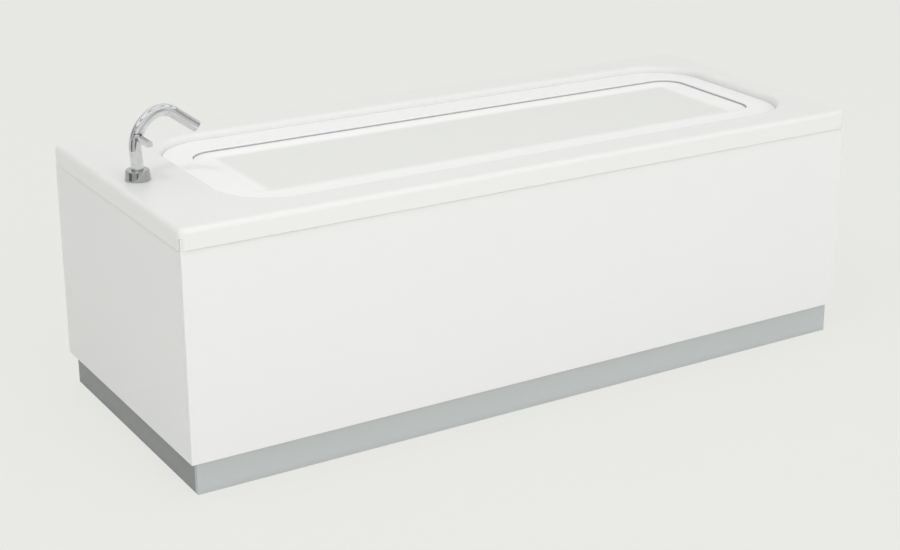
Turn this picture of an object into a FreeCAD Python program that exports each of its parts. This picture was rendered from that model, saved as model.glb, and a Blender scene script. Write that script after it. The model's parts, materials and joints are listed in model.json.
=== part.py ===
"""Panelled bath, 1700 x 700 mm, with a lift-out cover, a single-lever tap, waste, trap and feet.

Frame: origin on the floor under the middle of the rim, X along the bath with the tap at -X,
-Y the panelled front, +Z up. All sizes are in millimetres.
"""
import FreeCAD, Part
import math
import os
import re
import Sketcher
from FreeCAD import Placement, Rotation, Vector

DOC = FreeCAD.newDocument("bath")

# ---------------------------------------------------------------- driving sizes
SIZES = {
    # overall bath
    "bath_length": 1700, "bath_width": 700, "rim_height": 570,
    # moulded shell
    "shell_wall": 6, "rim_skirt": 44, "rim_corner": 16, "rim_round": 12,
    "deck_side": 80, "deck_tap": 160, "deck_far": 60, "lip_corner": 140, "lip_round": 12,
    "rebate_width": 14, "well_floor": 155, "floor_corner": 90, "floor_round": 40,
    "tap_end_slope": 60, "backrest_slope": 230, "side_slope": 60,
    # lift-out cover: a border frame and a dished tray
    "cover_drop": 15.5, "cover_thickness": 14.5, "cover_gap": 1.5, "cover_edge_round": 1.5,
    "border_end": 60, "border_side": 83, "tray_corner": 58, "tray_step": 5, "tray_flange": 4,
    "tray_seat": 12, "tray_gap": 0.8, "tray_depth": 5, "tray_lip": 5,
    "dish_end": 52, "dish_side": 37, "dish_corner": 28,
    # panels and plinths
    "panel_inset": 3, "panel_gap": 0.6, "panel_thickness": 15, "panel_bottom": 75, "corner_tab_top": 550,
    "corner_tab_width": 15, "tab_gap": 0.4, "plinth_inset": 16, "plinth_thickness": 12,
    "plinth_far_inset": 9, "plinth_back_inset": 6, "plinth_gap": 0.5,
    # timber frame
    "batten_width": 45, "batten_height": 20, "rail_height": 40, "rail_depth": 30, "end_rail_depth": 20,
    "stud_width": 45, "timber_gap": 2, "tap_bay": 90, "batten_end_gap": 12,
    # baseboard, cradle and feet
    "board_thickness": 18, "board_length": 900, "board_width": 280, "board_centre": 20,
    "channel_width": 40, "channel_height": 25, "channel_wall": 2.5, "channel_length": 560,
    "channel_spacing": 720, "foot_spacing": 480, "rod_diameter": 12, "rod_top": 150, "rod_seat": 12,
    "thread_gap": 0.15, "nut_width": 19, "nut_height": 7, "cup_diameter": 52, "cup_rim": 6,
    "cup_height": 34, "cup_neck": 22, "screw_diameter": 6, "screw_length": 14, "screw_head": 12,
    # wall brackets
    "bracket_width": 40, "bracket_wall": 2.5, "bracket_drop": 50, "bracket_spacing": 600,
    "bracket_hole": 5, "bracket_setback": 14, "screw_head_width": 9, "screw_head_height": 2,
    # waste and trap
    "waste_from_end": 330, "waste_hole": 52, "waste_flange_diameter": 70, "waste_flange_thickness": 2.5,
    "waste_tube": 47, "waste_bore": 42, "waste_seal_thickness": 3, "waste_body_diameter": 56,
    "waste_body_flange": 64, "waste_flange_depth": 8, "waste_body_drop": 51, "waste_cavity": 44,
    "waste_tube_depth": 26, "spider_height": 8, "spider_hub": 12, "spoke_width": 3,
    "plug_diameter": 54, "plug_thickness": 5, "plug_stem_diameter": 6, "plug_clearance": 0.3,
    "plug_stem_length": 46, "pipe_diameter": 40, "pipe_wall": 2, "trap_bend": 30, "trap_straight": 20,
    "trap_flange": 2.5, "trap_nut_diameter": 66, "trap_nut_shoulder": 4.2, "trap_nut_height": 16,
    "outlet_setback": 10,
    # overflow
    "overflow_height": 470, "overflow_hole": 50, "overflow_face": 66, "overflow_face_thickness": 3,
    "knob_diameter": 64, "knob_thickness": 9, "knob_gap": 4, "overflow_body_diameter": 62,
    "overflow_body_depth": 22, "overflow_seal_thickness": 2.5, "spindle_diameter": 8,
    "overflow_collar": 46, "overflow_cavity": 48, "overflow_holes": 9, "port_reach": 13.2,
    "overflow_pipe_diameter": 30, "overflow_pipe_wall": 2, "overflow_bend": 50, "overflow_drop": 25,
    "cable_diameter": 6, "cable_offset": 24, "cable_boss": 12, "socket_gap": 0.2, "socket_wall": 3,
    "socket_depth": 25, "knob_ridge_length": 50, "knob_ridge_width": 8, "knob_ridge_height": 6,
    # tap
    "tap_from_end": 58, "tap_hole": 35, "ring_foot_diameter": 53.5, "ring_top_diameter": 49.5,
    "ring_height": 22, "spout_diameter": 26, "spout_wall": 2.2, "spout_rise": 24, "spout_lean": 4,
    "lean_radius": 260, "lean_run": 19, "arch_radius": 78, "arch_end_angle": 27, "crown_radius": 42,
    "nose_angle": 37, "nose_length": 61, "aerator_length": 8, "aerator_recess": 2,
    "middle_jet": 2.4, "small_jet": 1.8, "inner_jets": 4, "outer_jets": 7.6,
    "lever_height": 92, "lever_reach": 73, "lever_side": 12, "lever_start": 16.2, "lever_chamfer": 3.5,
    "lever_round": 1.5, "neck_diameter": 6, "ball_diameter": 16, "ball_gap": 0.3, "lever_lift": 20,
    "lever_swing": 15, "window_gap": 0.5, "hinge_pin_diameter": 3, "hinge_pin_gap": 0.1,
    "yoke_gap": 0.05, "yoke_height": 15,
    "shank_diameter": 32, "shank_length": 63, "washer_diameter": 50, "washer_thickness": 3,
    "backnut_diameter": 46, "backnut_height": 10, "tail_diameter": 10, "tail_spacing": 16,
    "tail_spread": 60, "tail_length": 175, "tail_bend": 40, "tail_nut_width": 24, "tail_nut_height": 18,
    "tail_socket": 15, "tail_inset": 50.4, "tail_straight": 5, "gasket_diameter": 45,
    "gasket_thickness": 1,
}

# ---------------------------------------------------------------- worked-out places
PLACES = {
    "half_length": "bath_length / 2", "half_width": "bath_width / 2",
    "deck_under": "rim_height - shell_wall", "skirt_foot": "rim_height - rim_skirt",
    "lip_tap": "deck_tap - half_length", "lip_far": "half_length - deck_far",
    "lip_side": "half_width - deck_side",
    "wall_tap": "lip_tap + lip_round", "wall_far": "lip_far - lip_round",
    "wall_side": "lip_side - lip_round", "wall_corner": "lip_corner - lip_round",
    "cover_top": "rim_height - cover_drop", "rebate_top": "cover_top - cover_thickness",
    "mouth_tap": "wall_tap + rebate_width", "mouth_far": "wall_far - rebate_width",
    "mouth_side": "wall_side - rebate_width", "mouth_corner": "wall_corner - rebate_width",
    "floor_tap": "mouth_tap + tap_end_slope", "floor_far": "mouth_far - backrest_slope",
    "floor_side": "mouth_side - side_slope", "floor_under": "well_floor - shell_wall",
    "well_depth": "rebate_top - well_floor",
    "step_tap": "wall_tap + border_end", "step_far": "wall_far - border_end",
    "step_side": "wall_side - border_side", "tray_top": "cover_top - tray_step",
    "tray_seat_top": "tray_top - tray_flange",
    "panel_front": "panel_inset - half_width", "panel_back": "panel_front + panel_thickness",
    "panel_left": "panel_inset - half_length", "panel_inner": "panel_left + panel_thickness",
    "panel_top": "skirt_foot - panel_gap", "panel_right": "half_length - panel_inset",
    "plinth_front": "panel_front + plinth_inset", "plinth_back": "plinth_front + plinth_thickness",
    "plinth_left": "panel_left + plinth_inset", "plinth_inner": "plinth_left + plinth_thickness",
    "plinth_right": "panel_right - plinth_far_inset", "plinth_rear": "half_width - plinth_back_inset",
    "plinth_top": "panel_bottom - plinth_gap",
    "batten_foot": "deck_under - batten_height", "rail_foot": "batten_foot - rail_height",
    "skirt_inner": "half_width - shell_wall", "skirt_end": "half_length - shell_wall",
    "board_foot": "floor_under - board_thickness", "channel_foot": "board_foot - channel_height",
    "bracket_tab": "half_width - bracket_setback",
    "waste_x": "waste_from_end - half_length", "tap_x": "tap_from_end - half_length",
    "overflow_lean": "atan2(tap_end_slope; well_depth)",
    "overflow_x": "mouth_tap + (rebate_top - overflow_height) * tap_end_slope / well_depth",
    "waste_body_top": "floor_under - waste_seal_thickness",
    "waste_body_foot": "waste_body_top - waste_body_drop",
    "trap_nut_foot": "waste_body_foot - trap_flange - socket_gap - trap_nut_shoulder",
    "overflow_socket": "overflow_pipe_diameter + 2 * socket_gap + 2 * socket_wall",
    "overflow_inlet": "trap_nut_foot + trap_nut_height + overflow_socket / 2 + 2",
    "overflow_back": "shell_wall * 1.04", "overflow_seat": "overflow_back + overflow_seal_thickness",
    "overflow_rear": "overflow_seat + overflow_body_depth",
    "overflow_pipe_x": "overflow_x - overflow_drop",
    "overflow_pipe_top": "overflow_height - overflow_body_diameter / 2 - 2",
    "cable_top": "overflow_pipe_top + 5",
    "waste_socket_end": "waste_x - waste_body_diameter / 2 - socket_depth + 3",
    "overflow_pipe_end": "waste_x - waste_body_diameter / 2 - 2",
    "cable_end": "waste_x - waste_body_diameter / 2 + 4",
    "plug_foot": "well_floor + waste_flange_thickness + plug_clearance",
    "shank_foot": "rim_height - shank_length", "tail_foot": "shank_foot - tail_length",
    "lever_z": "rim_height + lever_height",
    "lean_end_x": "tap_x - lean_radius * (1 - cos(spout_lean)) - lean_run * sin(spout_lean)",
    "lean_end_z": "rim_height + spout_rise + lean_radius * sin(spout_lean) + lean_run * cos(spout_lean)",
    "arch_x": "lean_end_x + arch_radius * cos(spout_lean)",
    "arch_z": "lean_end_z + arch_radius * sin(spout_lean)",
    "pivot_x": "arch_x - sqrt(arch_radius * arch_radius - (lever_z - arch_z) * (lever_z - arch_z))",
    "crown_x": "arch_x - (arch_radius - crown_radius) * sin(arch_end_angle)",
    "crown_z": "arch_z + (arch_radius - crown_radius) * cos(arch_end_angle)",
    "tip_x": "crown_x + crown_radius * sin(nose_angle) + nose_length * cos(nose_angle)",
    "tip_z": "crown_z + crown_radius * cos(nose_angle) - nose_length * sin(nose_angle)",
    "window_side": "neck_diameter / 2 + spout_diameter / 2 * tan(lever_swing) + window_gap",
    "window_up": "neck_diameter / 2 / cos(lever_lift) + spout_diameter / 2 * tan(lever_lift) + window_gap",
    "window_down": "neck_diameter / 2 + window_gap",
}


def make_sheet(label, cells, formula):
    """One spreadsheet, with an aliased cell for each named value."""
    sheet = DOC.addObject("Spreadsheet::Sheet", label)
    for row, (name, content) in enumerate(cells.items(), start=1):
        sheet.set("A%d" % row, name)
        sheet.set("B%d" % row, formula(content))
        sheet.setAlias("B%d" % row, name)
    DOC.recompute()
    return sheet


def bound(expression):
    """The expression with each named value written as its sheet's alias."""
    def qualify(match):
        word = match.group(0)
        if word in SIZES:
            return "Sizes." + word
        if word in PLACES:
            return "Places." + word
        return word
    return re.sub(r"[a-z][a-z_0-9]*", qualify, str(expression))


sizes = make_sheet("Sizes", SIZES, str)
places = make_sheet("Places", PLACES, lambda text: "=" + bound(text).replace("Places.", ""))


def value(name):
    """The number that a named size or place has now."""
    sheet = sizes if name in SIZES else places
    number = getattr(sheet, name)
    return float(getattr(number, "Value", number))


NODES = []


def node(obj, label):
    """Names a finished sub-part and lists it for the export."""
    obj.Label = label
    NODES.append(obj)
    return obj


def bind(obj, **expressions):
    """Ties properties of an object to the sheets."""
    for prop, expression in expressions.items():
        obj.setExpression(prop.replace("__", "."), bound(expression))
    return obj


def move(obj, x="0", y="0", z="0"):
    """Ties an object's place to the sheets."""
    for axis, expression in (("x", x), ("y", y), ("z", z)):
        obj.setExpression("Placement.Base." + axis, bound(expression))
    return obj


# ---------------------------------------------------------------- simple solids
AXES = {"X": Rotation(Vector(0, 1, 0), 90), "Y": Rotation(Vector(1, 0, 0), -90), "Z": Rotation()}


def box(label, x_span, y_span, z_span):
    """A block between two named places along each axis."""
    block = DOC.addObject("Part::Box", label)
    for size, (low, high) in zip(("Length", "Width", "Height"), (x_span, y_span, z_span)):
        block.setExpression(size, bound("(%s) - (%s)" % (high, low)))
    return move(block, x_span[0], y_span[0], z_span[0])


def cylinder(label, diameter, length, axis="Z", x="0", y="0", z="0"):
    """A round bar that starts at a place and runs along an axis."""
    bar = DOC.addObject("Part::Cylinder", label)
    bar.Placement = Placement(Vector(), AXES[axis])
    bind(bar, Radius="(%s) / 2" % diameter, Height=length)
    return move(bar, x, y, z)


def cone(label, low_diameter, high_diameter, length, x="0", y="0", z="0"):
    """A round taper standing on a place."""
    taper = DOC.addObject("Part::Cone", label)
    bind(taper, Radius1="(%s) / 2" % low_diameter, Radius2="(%s) / 2" % high_diameter, Height=length)
    return move(taper, x, y, z)


def hex_bar(label, width, length, x="0", y="0", z="0"):
    """A hexagon bar, width measured across its flats."""
    bar = DOC.addObject("Part::Prism", label)
    bar.Polygon = 6
    bind(bar, Circumradius="(%s) / 2 / cos(30)" % width, Height=length)
    return move(bar, x, y, z)


def fuse(label, *shapes):
    """Several shapes made one."""
    whole = DOC.addObject("Part::MultiFuse", label)
    whole.Shapes = list(shapes)
    return whole


def cut(label, base, *tools):
    """A shape with others taken out of it."""
    rest = DOC.addObject("Part::Cut", label)
    rest.Base = base
    rest.Tool = tools[0] if len(tools) == 1 else fuse(label + "_tools", *tools)
    return rest


def group(label, members):
    """Identical loose pieces that share one node."""
    together = DOC.addObject("Part::Compound", label)
    together.Links = list(members)
    return together


# ---------------------------------------------------------------- sketched solids
def origin_plane(body, role):
    """One of a body's own origin planes."""
    return next(f for f in body.Origin.OriginFeatures if f.Role == role)


def new_sketch(body, label, role="XY_Plane", offset="0"):
    """An empty sketch on one of the body's planes, raised by an offset."""
    sketch = body.newObject("Sketcher::SketchObject", label)
    sketch.AttachmentSupport = [(origin_plane(body, role), "")]
    sketch.MapMode = "FlatFace"
    sketch.setExpression("AttachmentOffset.Base.z", bound(offset))
    return sketch


def number_of(expression):
    """What a bound expression gives now, read through a scratch cell."""
    sizes.set("D1", "=" + bound(expression).replace("Sizes.", ""))
    DOC.recompute([sizes])
    result = sizes.get("D1")
    sizes.clear("D1")
    return float(getattr(result, "Value", result))


def line(start, end):
    """A straight edge between two points of a sketch."""
    return Part.LineSegment(Vector(start[0], start[1], 0), Vector(end[0], end[1], 0))


def rounded_rectangle(body, label, spans, corner, level):
    """A sketch of a rectangle with round corners, around the body's origin.

    spans holds four named distances from the origin: to -X, +X, -Y and +Y.
    """
    sketch = new_sketch(body, label, offset=level)
    left, right, front, back = (number_of(text) for text in spans)
    round_off = number_of(corner)
    inner = (-left + round_off, right - round_off, -front + round_off, back - round_off)
    sketch.addGeometry([
        line((inner[0], -front), (inner[1], -front)),
        line((right, inner[2]), (right, inner[3])),
        line((inner[1], back), (inner[0], back)),
        line((-left, inner[3]), (-left, inner[2])),
    ])
    centres = ((inner[1], inner[2], -90), (inner[1], inner[3], 0), (inner[0], inner[3], 90),
               (inner[0], inner[2], 180))
    for x, y, first in centres:
        ring = Part.Circle(Vector(x, y, 0), Vector(0, 0, 1), round_off)
        sketch.addGeometry(Part.ArcOfCircle(ring, math.radians(first), math.radians(first + 90)))
    for side in range(4):
        arc = 4 + side
        sketch.addConstraint(Sketcher.Constraint("Tangent", side, 2, arc, 1))
        sketch.addConstraint(Sketcher.Constraint("Tangent", arc, 2, (side + 1) % 4, 1))
        sketch.addConstraint(Sketcher.Constraint(("Horizontal", "Vertical")[side % 2], side))
    for arc in (5, 6, 7):
        sketch.addConstraint(Sketcher.Constraint("Equal", 4, arc))
    dimensions = (
        ("corner", Sketcher.Constraint("Radius", 4, round_off), corner),
        ("to_left", Sketcher.Constraint("DistanceX", 3, 1, -1, 1, left), spans[0]),
        ("to_right", Sketcher.Constraint("DistanceX", -1, 1, 1, 1, right), spans[1]),
        ("to_front", Sketcher.Constraint("DistanceY", 0, 1, -1, 1, front), spans[2]),
        ("to_back", Sketcher.Constraint("DistanceY", -1, 1, 2, 1, back), spans[3]),
    )
    for name, constraint, expression in dimensions:
        index = sketch.addConstraint(constraint)
        sketch.renameConstraint(index, name)
        sketch.setExpression("Constraints." + name, bound(expression))
    return sketch


def polygon(body, label, corners, role="XY_Plane", offset="0"):
    """A closed sketch of straight edges through corners given as pairs of non-negative expressions.

    Every corner is tied to the sketch's origin across and up.
    """
    sketch = new_sketch(body, label, role, offset)
    points = [(number_of(x), number_of(y)) for x, y in corners]
    count = len(points)
    for k in range(count):
        sketch.addGeometry(line(points[k], points[(k + 1) % count]))
    for k in range(count):
        sketch.addConstraint(Sketcher.Constraint("Coincident", k, 2, (k + 1) % count, 1))
    for k, ((across, up), (x, y)) in enumerate(zip(corners, points)):
        for kind, reach, text in (("DistanceX", x, across), ("DistanceY", y, up)):
            if reach == 0:
                axis = -2 if kind == "DistanceX" else -1
                sketch.addConstraint(Sketcher.Constraint("PointOnObject", k, 1, axis))
                continue
            index = sketch.addConstraint(Sketcher.Constraint(kind, -1, 1, k, 1, reach))
            sketch.renameConstraint(index, "%s_%d" % (kind[-1].lower(), k))
            sketch.setExpression("Constraints.%s_%d" % (kind[-1].lower(), k), bound(text))
    return sketch


def circle_sketch(body, label, diameters, role="XY_Plane", offset="0"):
    """Circles round the body's origin, one per named diameter."""
    sketch = new_sketch(body, label, role, offset)
    for k, diameter in enumerate(diameters):
        radius = number_of(diameter) / 2
        sketch.addGeometry(Part.Circle(Vector(), Vector(0, 0, 1), radius))
        sketch.addConstraint(Sketcher.Constraint("Coincident", k, 3, -1, 1))
        index = sketch.addConstraint(Sketcher.Constraint("Diameter", k, 2 * radius))
        sketch.renameConstraint(index, "diameter_%d" % k)
        sketch.setExpression("Constraints.diameter_%d" % k, bound(diameter))
    return sketch


def pad(body, sketch, length, downwards=False):
    """Material raised from a sketch."""
    feature = body.newObject("PartDesign::Pad", sketch.Label + "_pad")
    feature.Profile = sketch
    feature.Reversed = downwards
    feature.setExpression("Length", bound(length))
    return feature


def pocket(body, sketch, length, upwards=False):
    """Material cut away from a sketch."""
    feature = body.newObject("PartDesign::Pocket", sketch.Label + "_pocket")
    feature.Profile = sketch
    feature.Reversed = upwards
    feature.setExpression("Length", bound(length))
    return feature


def loft(body, kind, sketches):
    """A straight-sided stretch between two outlines, added or cut away."""
    feature = body.newObject("PartDesign::%sLoft" % kind, sketches[0].Label + "_loft")
    feature.Profile = sketches[0]
    feature.Sections = sketches[1:]
    feature.Ruled = True
    return feature


def revolve(body, sketch):
    """A turned piece, its outline on the XZ plane and its axis the body's own Z."""
    feature = body.newObject("PartDesign::Revolution", sketch.Label + "_turned")
    feature.Profile = sketch
    feature.ReferenceAxis = (sketch, ["V_Axis"])
    feature.Angle = 360
    return feature


def edges_at(feature, height, keep=None, tolerance=0.05):
    """Names of a feature's edges that lie flat at a height and pass a test of their extent."""
    names = []
    for number, edge in enumerate(feature.Shape.Edges, start=1):
        frame = edge.BoundBox
        flat = abs(frame.ZMin - height) < tolerance and abs(frame.ZMax - height) < tolerance
        if flat and (keep is None or keep(frame)):
            names.append("Edge%d" % number)
    return names


def round_edges(body, feature, names, radius, label):
    """Edges of the body's last feature rounded off."""
    fillet = body.newObject("PartDesign::Fillet", label)
    fillet.Base = (feature, names)
    fillet.setExpression("Radius", bound(radius))
    return fillet


def turned(label, outline, x="0", y="0", z="0"):
    """A turned sub-part from its half outline, given as (radius, height) expressions."""
    body = DOC.addObject("PartDesign::Body", label)
    revolve(body, polygon(body, label + "_outline", outline, role="XZ_Plane"))
    return move(body, x, y, z)


def ring_outline(inner, outer, low, high):
    """The half outline of a plain ring."""
    return [(inner, low), (outer, low), (outer, high), (inner, high)]


def tuple_sum(spans, extra):
    """Each named distance made longer by the same amount."""
    return tuple("%s + (%s)" % (text, extra) for text in spans)


# ---------------------------------------------------------------- moulded shell
RIM = ("half_length", "half_length", "half_width", "half_width")
WALL = ("-wall_tap", "wall_far", "wall_side", "wall_side")
MOUTH = ("-mouth_tap", "mouth_far", "mouth_side", "mouth_side")
FLOOR = ("-floor_tap", "floor_far", "floor_side", "floor_side")


def well_body(label, growth):
    """The well as a solid: the mouth drawn down to the floor, with the floor's edge rounded."""
    body = DOC.addObject("PartDesign::Body", label)
    mouth = rounded_rectangle(body, label + "_mouth", tuple_sum(MOUTH, growth),
                              "mouth_corner + " + growth, "rebate_top")
    floor = rounded_rectangle(body, label + "_foot", tuple_sum(FLOOR, growth), "floor_corner + " + growth,
                              "well_floor - " + growth)
    stretch = loft(body, "Additive", [mouth, floor])
    DOC.recompute()
    foot_edges = edges_at(stretch, number_of("well_floor - " + growth))
    round_edges(body, stretch, foot_edges, "floor_round + " + growth, label + "_round")
    return body


def overflow_part(obj, along):
    """Sets a piece on the overflow's axis, which is square to the sloping tap-end wall."""
    obj.Placement = Placement(Vector(), Rotation(Vector(0, 1, 0), 90 - value("overflow_lean")))
    return move(obj, "overflow_x + (%s) * cos(overflow_lean)" % along, "0",
                "overflow_height + (%s) * sin(overflow_lean)" % along)


def make_tub_shell():
    """Rim, skirt, lip, cover rebate and deep well, moulded in one piece."""
    body = DOC.addObject("PartDesign::Body", "rim")
    pad(body, rounded_rectangle(body, "rim_outline", RIM, "rim_corner", "skirt_foot"), "rim_skirt")
    skirt_inside = rounded_rectangle(body, "skirt_inside", tuple_sum(RIM, "-shell_wall"),
                                     "rim_corner - shell_wall", "skirt_foot")
    pocket(body, skirt_inside, "rim_skirt - shell_wall", upwards=True)
    lip_outside = rounded_rectangle(body, "lip_outside", tuple_sum(WALL, "shell_wall"),
                                    "wall_corner + shell_wall", "rebate_top - shell_wall")
    pad(body, lip_outside, "cover_drop + cover_thickness + shell_wall / 2")
    lip_inside = rounded_rectangle(body, "lip_inside", WALL, "wall_corner", "rebate_top - 2 * shell_wall")
    last = pocket(body, lip_inside, "rim_height - rebate_top + 3 * shell_wall", upwards=True)
    DOC.recompute()

    def on_lip(frame):
        return (frame.XMax < value("lip_far") and frame.XMin > value("lip_tap")
                and frame.YMax < value("lip_side") and frame.YMin > -value("lip_side"))

    last = round_edges(body, last, edges_at(last, value("rim_height"), on_lip), "lip_round",
                       "lip_rounding")
    DOC.recompute()

    def on_outside(frame):
        return (max(frame.XMax, -frame.XMin) > value("skirt_end")
                or max(frame.YMax, -frame.YMin) > value("skirt_inner"))

    round_edges(body, last, edges_at(last, value("rim_height"), on_outside), "rim_round", "rim_rounding")

    rebate = DOC.addObject("PartDesign::Body", "rebate")
    pad(rebate, rounded_rectangle(rebate, "rebate_outline", tuple_sum(WALL, "shell_wall / 2"),
                                  "wall_corner + shell_wall / 2", "rebate_top - shell_wall"), "shell_wall")
    holes = [
        well_body("well_inside", "0"),
        cylinder("tap_opening", "tap_hole", "rim_skirt", x="tap_x", z="skirt_foot"),
        cylinder("waste_opening", "waste_hole", "4 * shell_wall", x="waste_x",
                 z="floor_under - shell_wall"),
        overflow_part(cylinder("overflow_opening", "overflow_hole", "6 * shell_wall"), "-3 * shell_wall"),
        box("corner_notch", ("panel_left - tab_gap", "panel_left + corner_tab_width + tab_gap"),
            ("panel_front - tab_gap", "panel_back + tab_gap"),
            ("skirt_foot - 1", "corner_tab_top + tab_gap")),
    ]
    outside = fuse("tub_solid", body, rebate, well_body("well_outside", "shell_wall"))
    return node(cut("tub_with_holes", outside, *holes), "tub_shell")


make_tub_shell()


# ---------------------------------------------------------------- lift-out cover
STEP = ("-step_tap", "step_far", "step_side", "step_side")


def make_cover_border():
    """The cover's outer frame, which lies on the rebate and carries the tray."""
    body = DOC.addObject("PartDesign::Body", "cover_border_body")
    outline = rounded_rectangle(body, "border_outline", tuple_sum(WALL, "-cover_gap"),
                                "wall_corner - cover_gap", "rebate_top")
    pad(body, outline, "cover_thickness")
    seat = rounded_rectangle(body, "border_seat", STEP, "tray_corner", "cover_top")
    pocket(body, seat, "tray_step + tray_flange")
    opening = rounded_rectangle(body, "border_opening", tuple_sum(STEP, "-tray_seat"),
                                "tray_corner - tray_seat", "cover_top")
    last = pocket(body, opening, "cover_thickness + 1")
    DOC.recompute()
    round_edges(body, last, edges_at(last, value("cover_top")), "cover_edge_round", "border_edges")
    return node(body, "cover_border")


def make_cover_tray():
    """The dished tray that drops into the border's seat."""
    body = DOC.addObject("PartDesign::Body", "cover_tray_body")
    flange = rounded_rectangle(body, "tray_flange_outline", tuple_sum(STEP, "-tray_gap"),
                               "tray_corner - tray_gap", "tray_seat_top")
    pad(body, flange, "tray_flange")
    drop = rounded_rectangle(body, "tray_drop_outline", tuple_sum(STEP, "-tray_seat - tray_gap"),
                             "tray_corner - tray_seat - tray_gap", "tray_seat_top")
    pad(body, drop, "tray_seat_top - rebate_top", downwards=True)
    brim = rounded_rectangle(body, "dish_brim", tuple_sum(STEP, "-tray_lip"), "tray_corner - tray_lip",
                             "tray_top")
    spans = ("-step_tap - dish_end", "step_far - dish_end", "step_side - dish_side",
             "step_side - dish_side")
    base = rounded_rectangle(body, "dish_base", spans, "dish_corner", "tray_top - tray_depth")
    loft(body, "Subtractive", [brim, base])
    return node(body, "cover_tray")


make_cover_border()
make_cover_tray()


# ---------------------------------------------------------------- timber under the rim
def channel_x(side):
    """Where a cradle channel's middle is, at the tap end for -1 and the far end for 1."""
    return "(board_centre + %d * channel_spacing / 2)" % side


def cradle_screw_spots(sides=(-1, 1)):
    """Where the screws go up through the cradle channels into the baseboard."""
    return [(channel_x(side), y) for side in sides for y in ("-board_width / 3", "board_width / 3")]


def make_timber():
    """Battens glued under the rim, and the board that stiffens the deck round the tap."""
    node(box("batten_front", ("lip_tap", "skirt_end - batten_end_gap"),
             ("-skirt_inner", "-skirt_inner + batten_width"),
             ("batten_foot", "deck_under")), "front_batten")
    node(box("batten_back", ("lip_tap", "skirt_end - batten_end_gap"),
             ("bracket_tab - batten_width", "bracket_tab"),
             ("batten_foot", "deck_under")), "back_batten")
    node(box("batten_far", ("skirt_end - batten_width", "skirt_end"),
             ("-skirt_inner + batten_width + timber_gap", "bracket_tab - batten_width - timber_gap"),
             ("batten_foot", "deck_under")), "far_batten")
    board = box("tap_board_blank", ("-skirt_end", "lip_tap - timber_gap"),
                ("-skirt_inner + batten_width", "skirt_inner - batten_width"),
                ("batten_foot", "deck_under"))
    hole = cylinder("tap_board_hole", "tap_hole", "2 * batten_height", x="tap_x", z="batten_foot - 5")
    node(cut("tap_board_cut", board, hole), "tap_board")
    panel = box("board_under_well",
                ("board_centre - board_length / 2", "board_centre + board_length / 2"),
                ("-board_width / 2", "board_width / 2"), ("board_foot", "floor_under"))
    pilots = [cylinder("board_pilot", "screw_diameter + 2 * thread_gap", "screw_length + 1", x=x, y=y,
                       z="board_foot - 1") for x, y in cradle_screw_spots()]
    node(cut("board_with_pilots", panel, *pilots), "baseboard")


make_timber()


# ---------------------------------------------------------------- panels, plinths and their frame
def make_panels():
    """The finished front and tap-end panels and the recessed plinths below them."""
    sheet = box("front_sheet", ("panel_left", "panel_right"), ("panel_front", "panel_back"),
                ("panel_bottom", "panel_top"))
    tab = box("front_tab", ("panel_left", "panel_left + corner_tab_width"), ("panel_front", "panel_back"),
              ("panel_top - 1", "corner_tab_top"))
    node(fuse("front_sheet_and_tab", sheet, tab), "front_panel")
    node(box("end_sheet", ("panel_left", "panel_inner"), ("panel_back", "half_width"),
             ("panel_bottom", "panel_top")), "end_panel")
    node(box("plinth_long", ("plinth_left", "plinth_right"), ("plinth_front", "plinth_back"),
             ("0", "plinth_top")), "front_plinth")
    node(box("plinth_short", ("plinth_left", "plinth_inner"), ("plinth_back", "plinth_rear"),
             ("0", "plinth_top")), "end_plinth")


def make_panel_frame():
    """Rails and studs that carry the panels and plinths."""
    node(box("rail_front_top", ("panel_inner", "skirt_end"), ("panel_back", "panel_back + rail_depth"),
             ("rail_foot", "batten_foot")), "front_top_rail")
    node(box("rail_front_floor", ("plinth_inner", "plinth_right"),
             ("plinth_back", "plinth_back + rail_depth"),
             ("0", "panel_bottom")), "front_floor_rail")
    low_rails = []
    for side, span in (("front", ("plinth_back + rail_depth", "-tap_bay / 2")),
                       ("back", ("tap_bay / 2", "plinth_rear"))):
        low_rails.append(box("rail_end_floor_" + side, ("plinth_inner", "plinth_inner + rail_depth"),
                             span, ("0", "panel_bottom")))
    node(group("end_low_rails", low_rails), "end_floor_rails")
    top_rails = []
    for side, span in (("front", ("panel_back + rail_depth", "-tap_bay / 2")),
                       ("back", ("tap_bay / 2", "bracket_tab - batten_width"))):
        top_rails.append(box("rail_end_" + side, ("panel_inner", "panel_inner + end_rail_depth"),
                             span, ("rail_foot", "batten_foot")))
    node(group("end_rails", top_rails), "end_top_rails")
    reach = "(skirt_end - stud_width - panel_inner)"
    front_studs = []
    for k, share in enumerate(("0.02", "1 / 3", "2 / 3", "0.98")):
        start = "panel_inner + (%s) * %s" % (share, reach)
        front_studs.append(box("stud_%d" % k, (start, start + " + stud_width"),
                               ("panel_back", "panel_back + rail_depth"), ("panel_bottom", "rail_foot")))
    end_studs = [box("end_stud_%s" % side, ("panel_inner", "panel_inner + end_rail_depth"),
                     ("%s0.3 * bath_width - stud_width / 2" % side,
                      "%s0.3 * bath_width + stud_width / 2" % side),
                     ("panel_bottom", "rail_foot")) for side in ("-", "")]
    node(group("studs", front_studs + end_studs), "panel_studs")


make_panels()
make_panel_frame()


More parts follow.
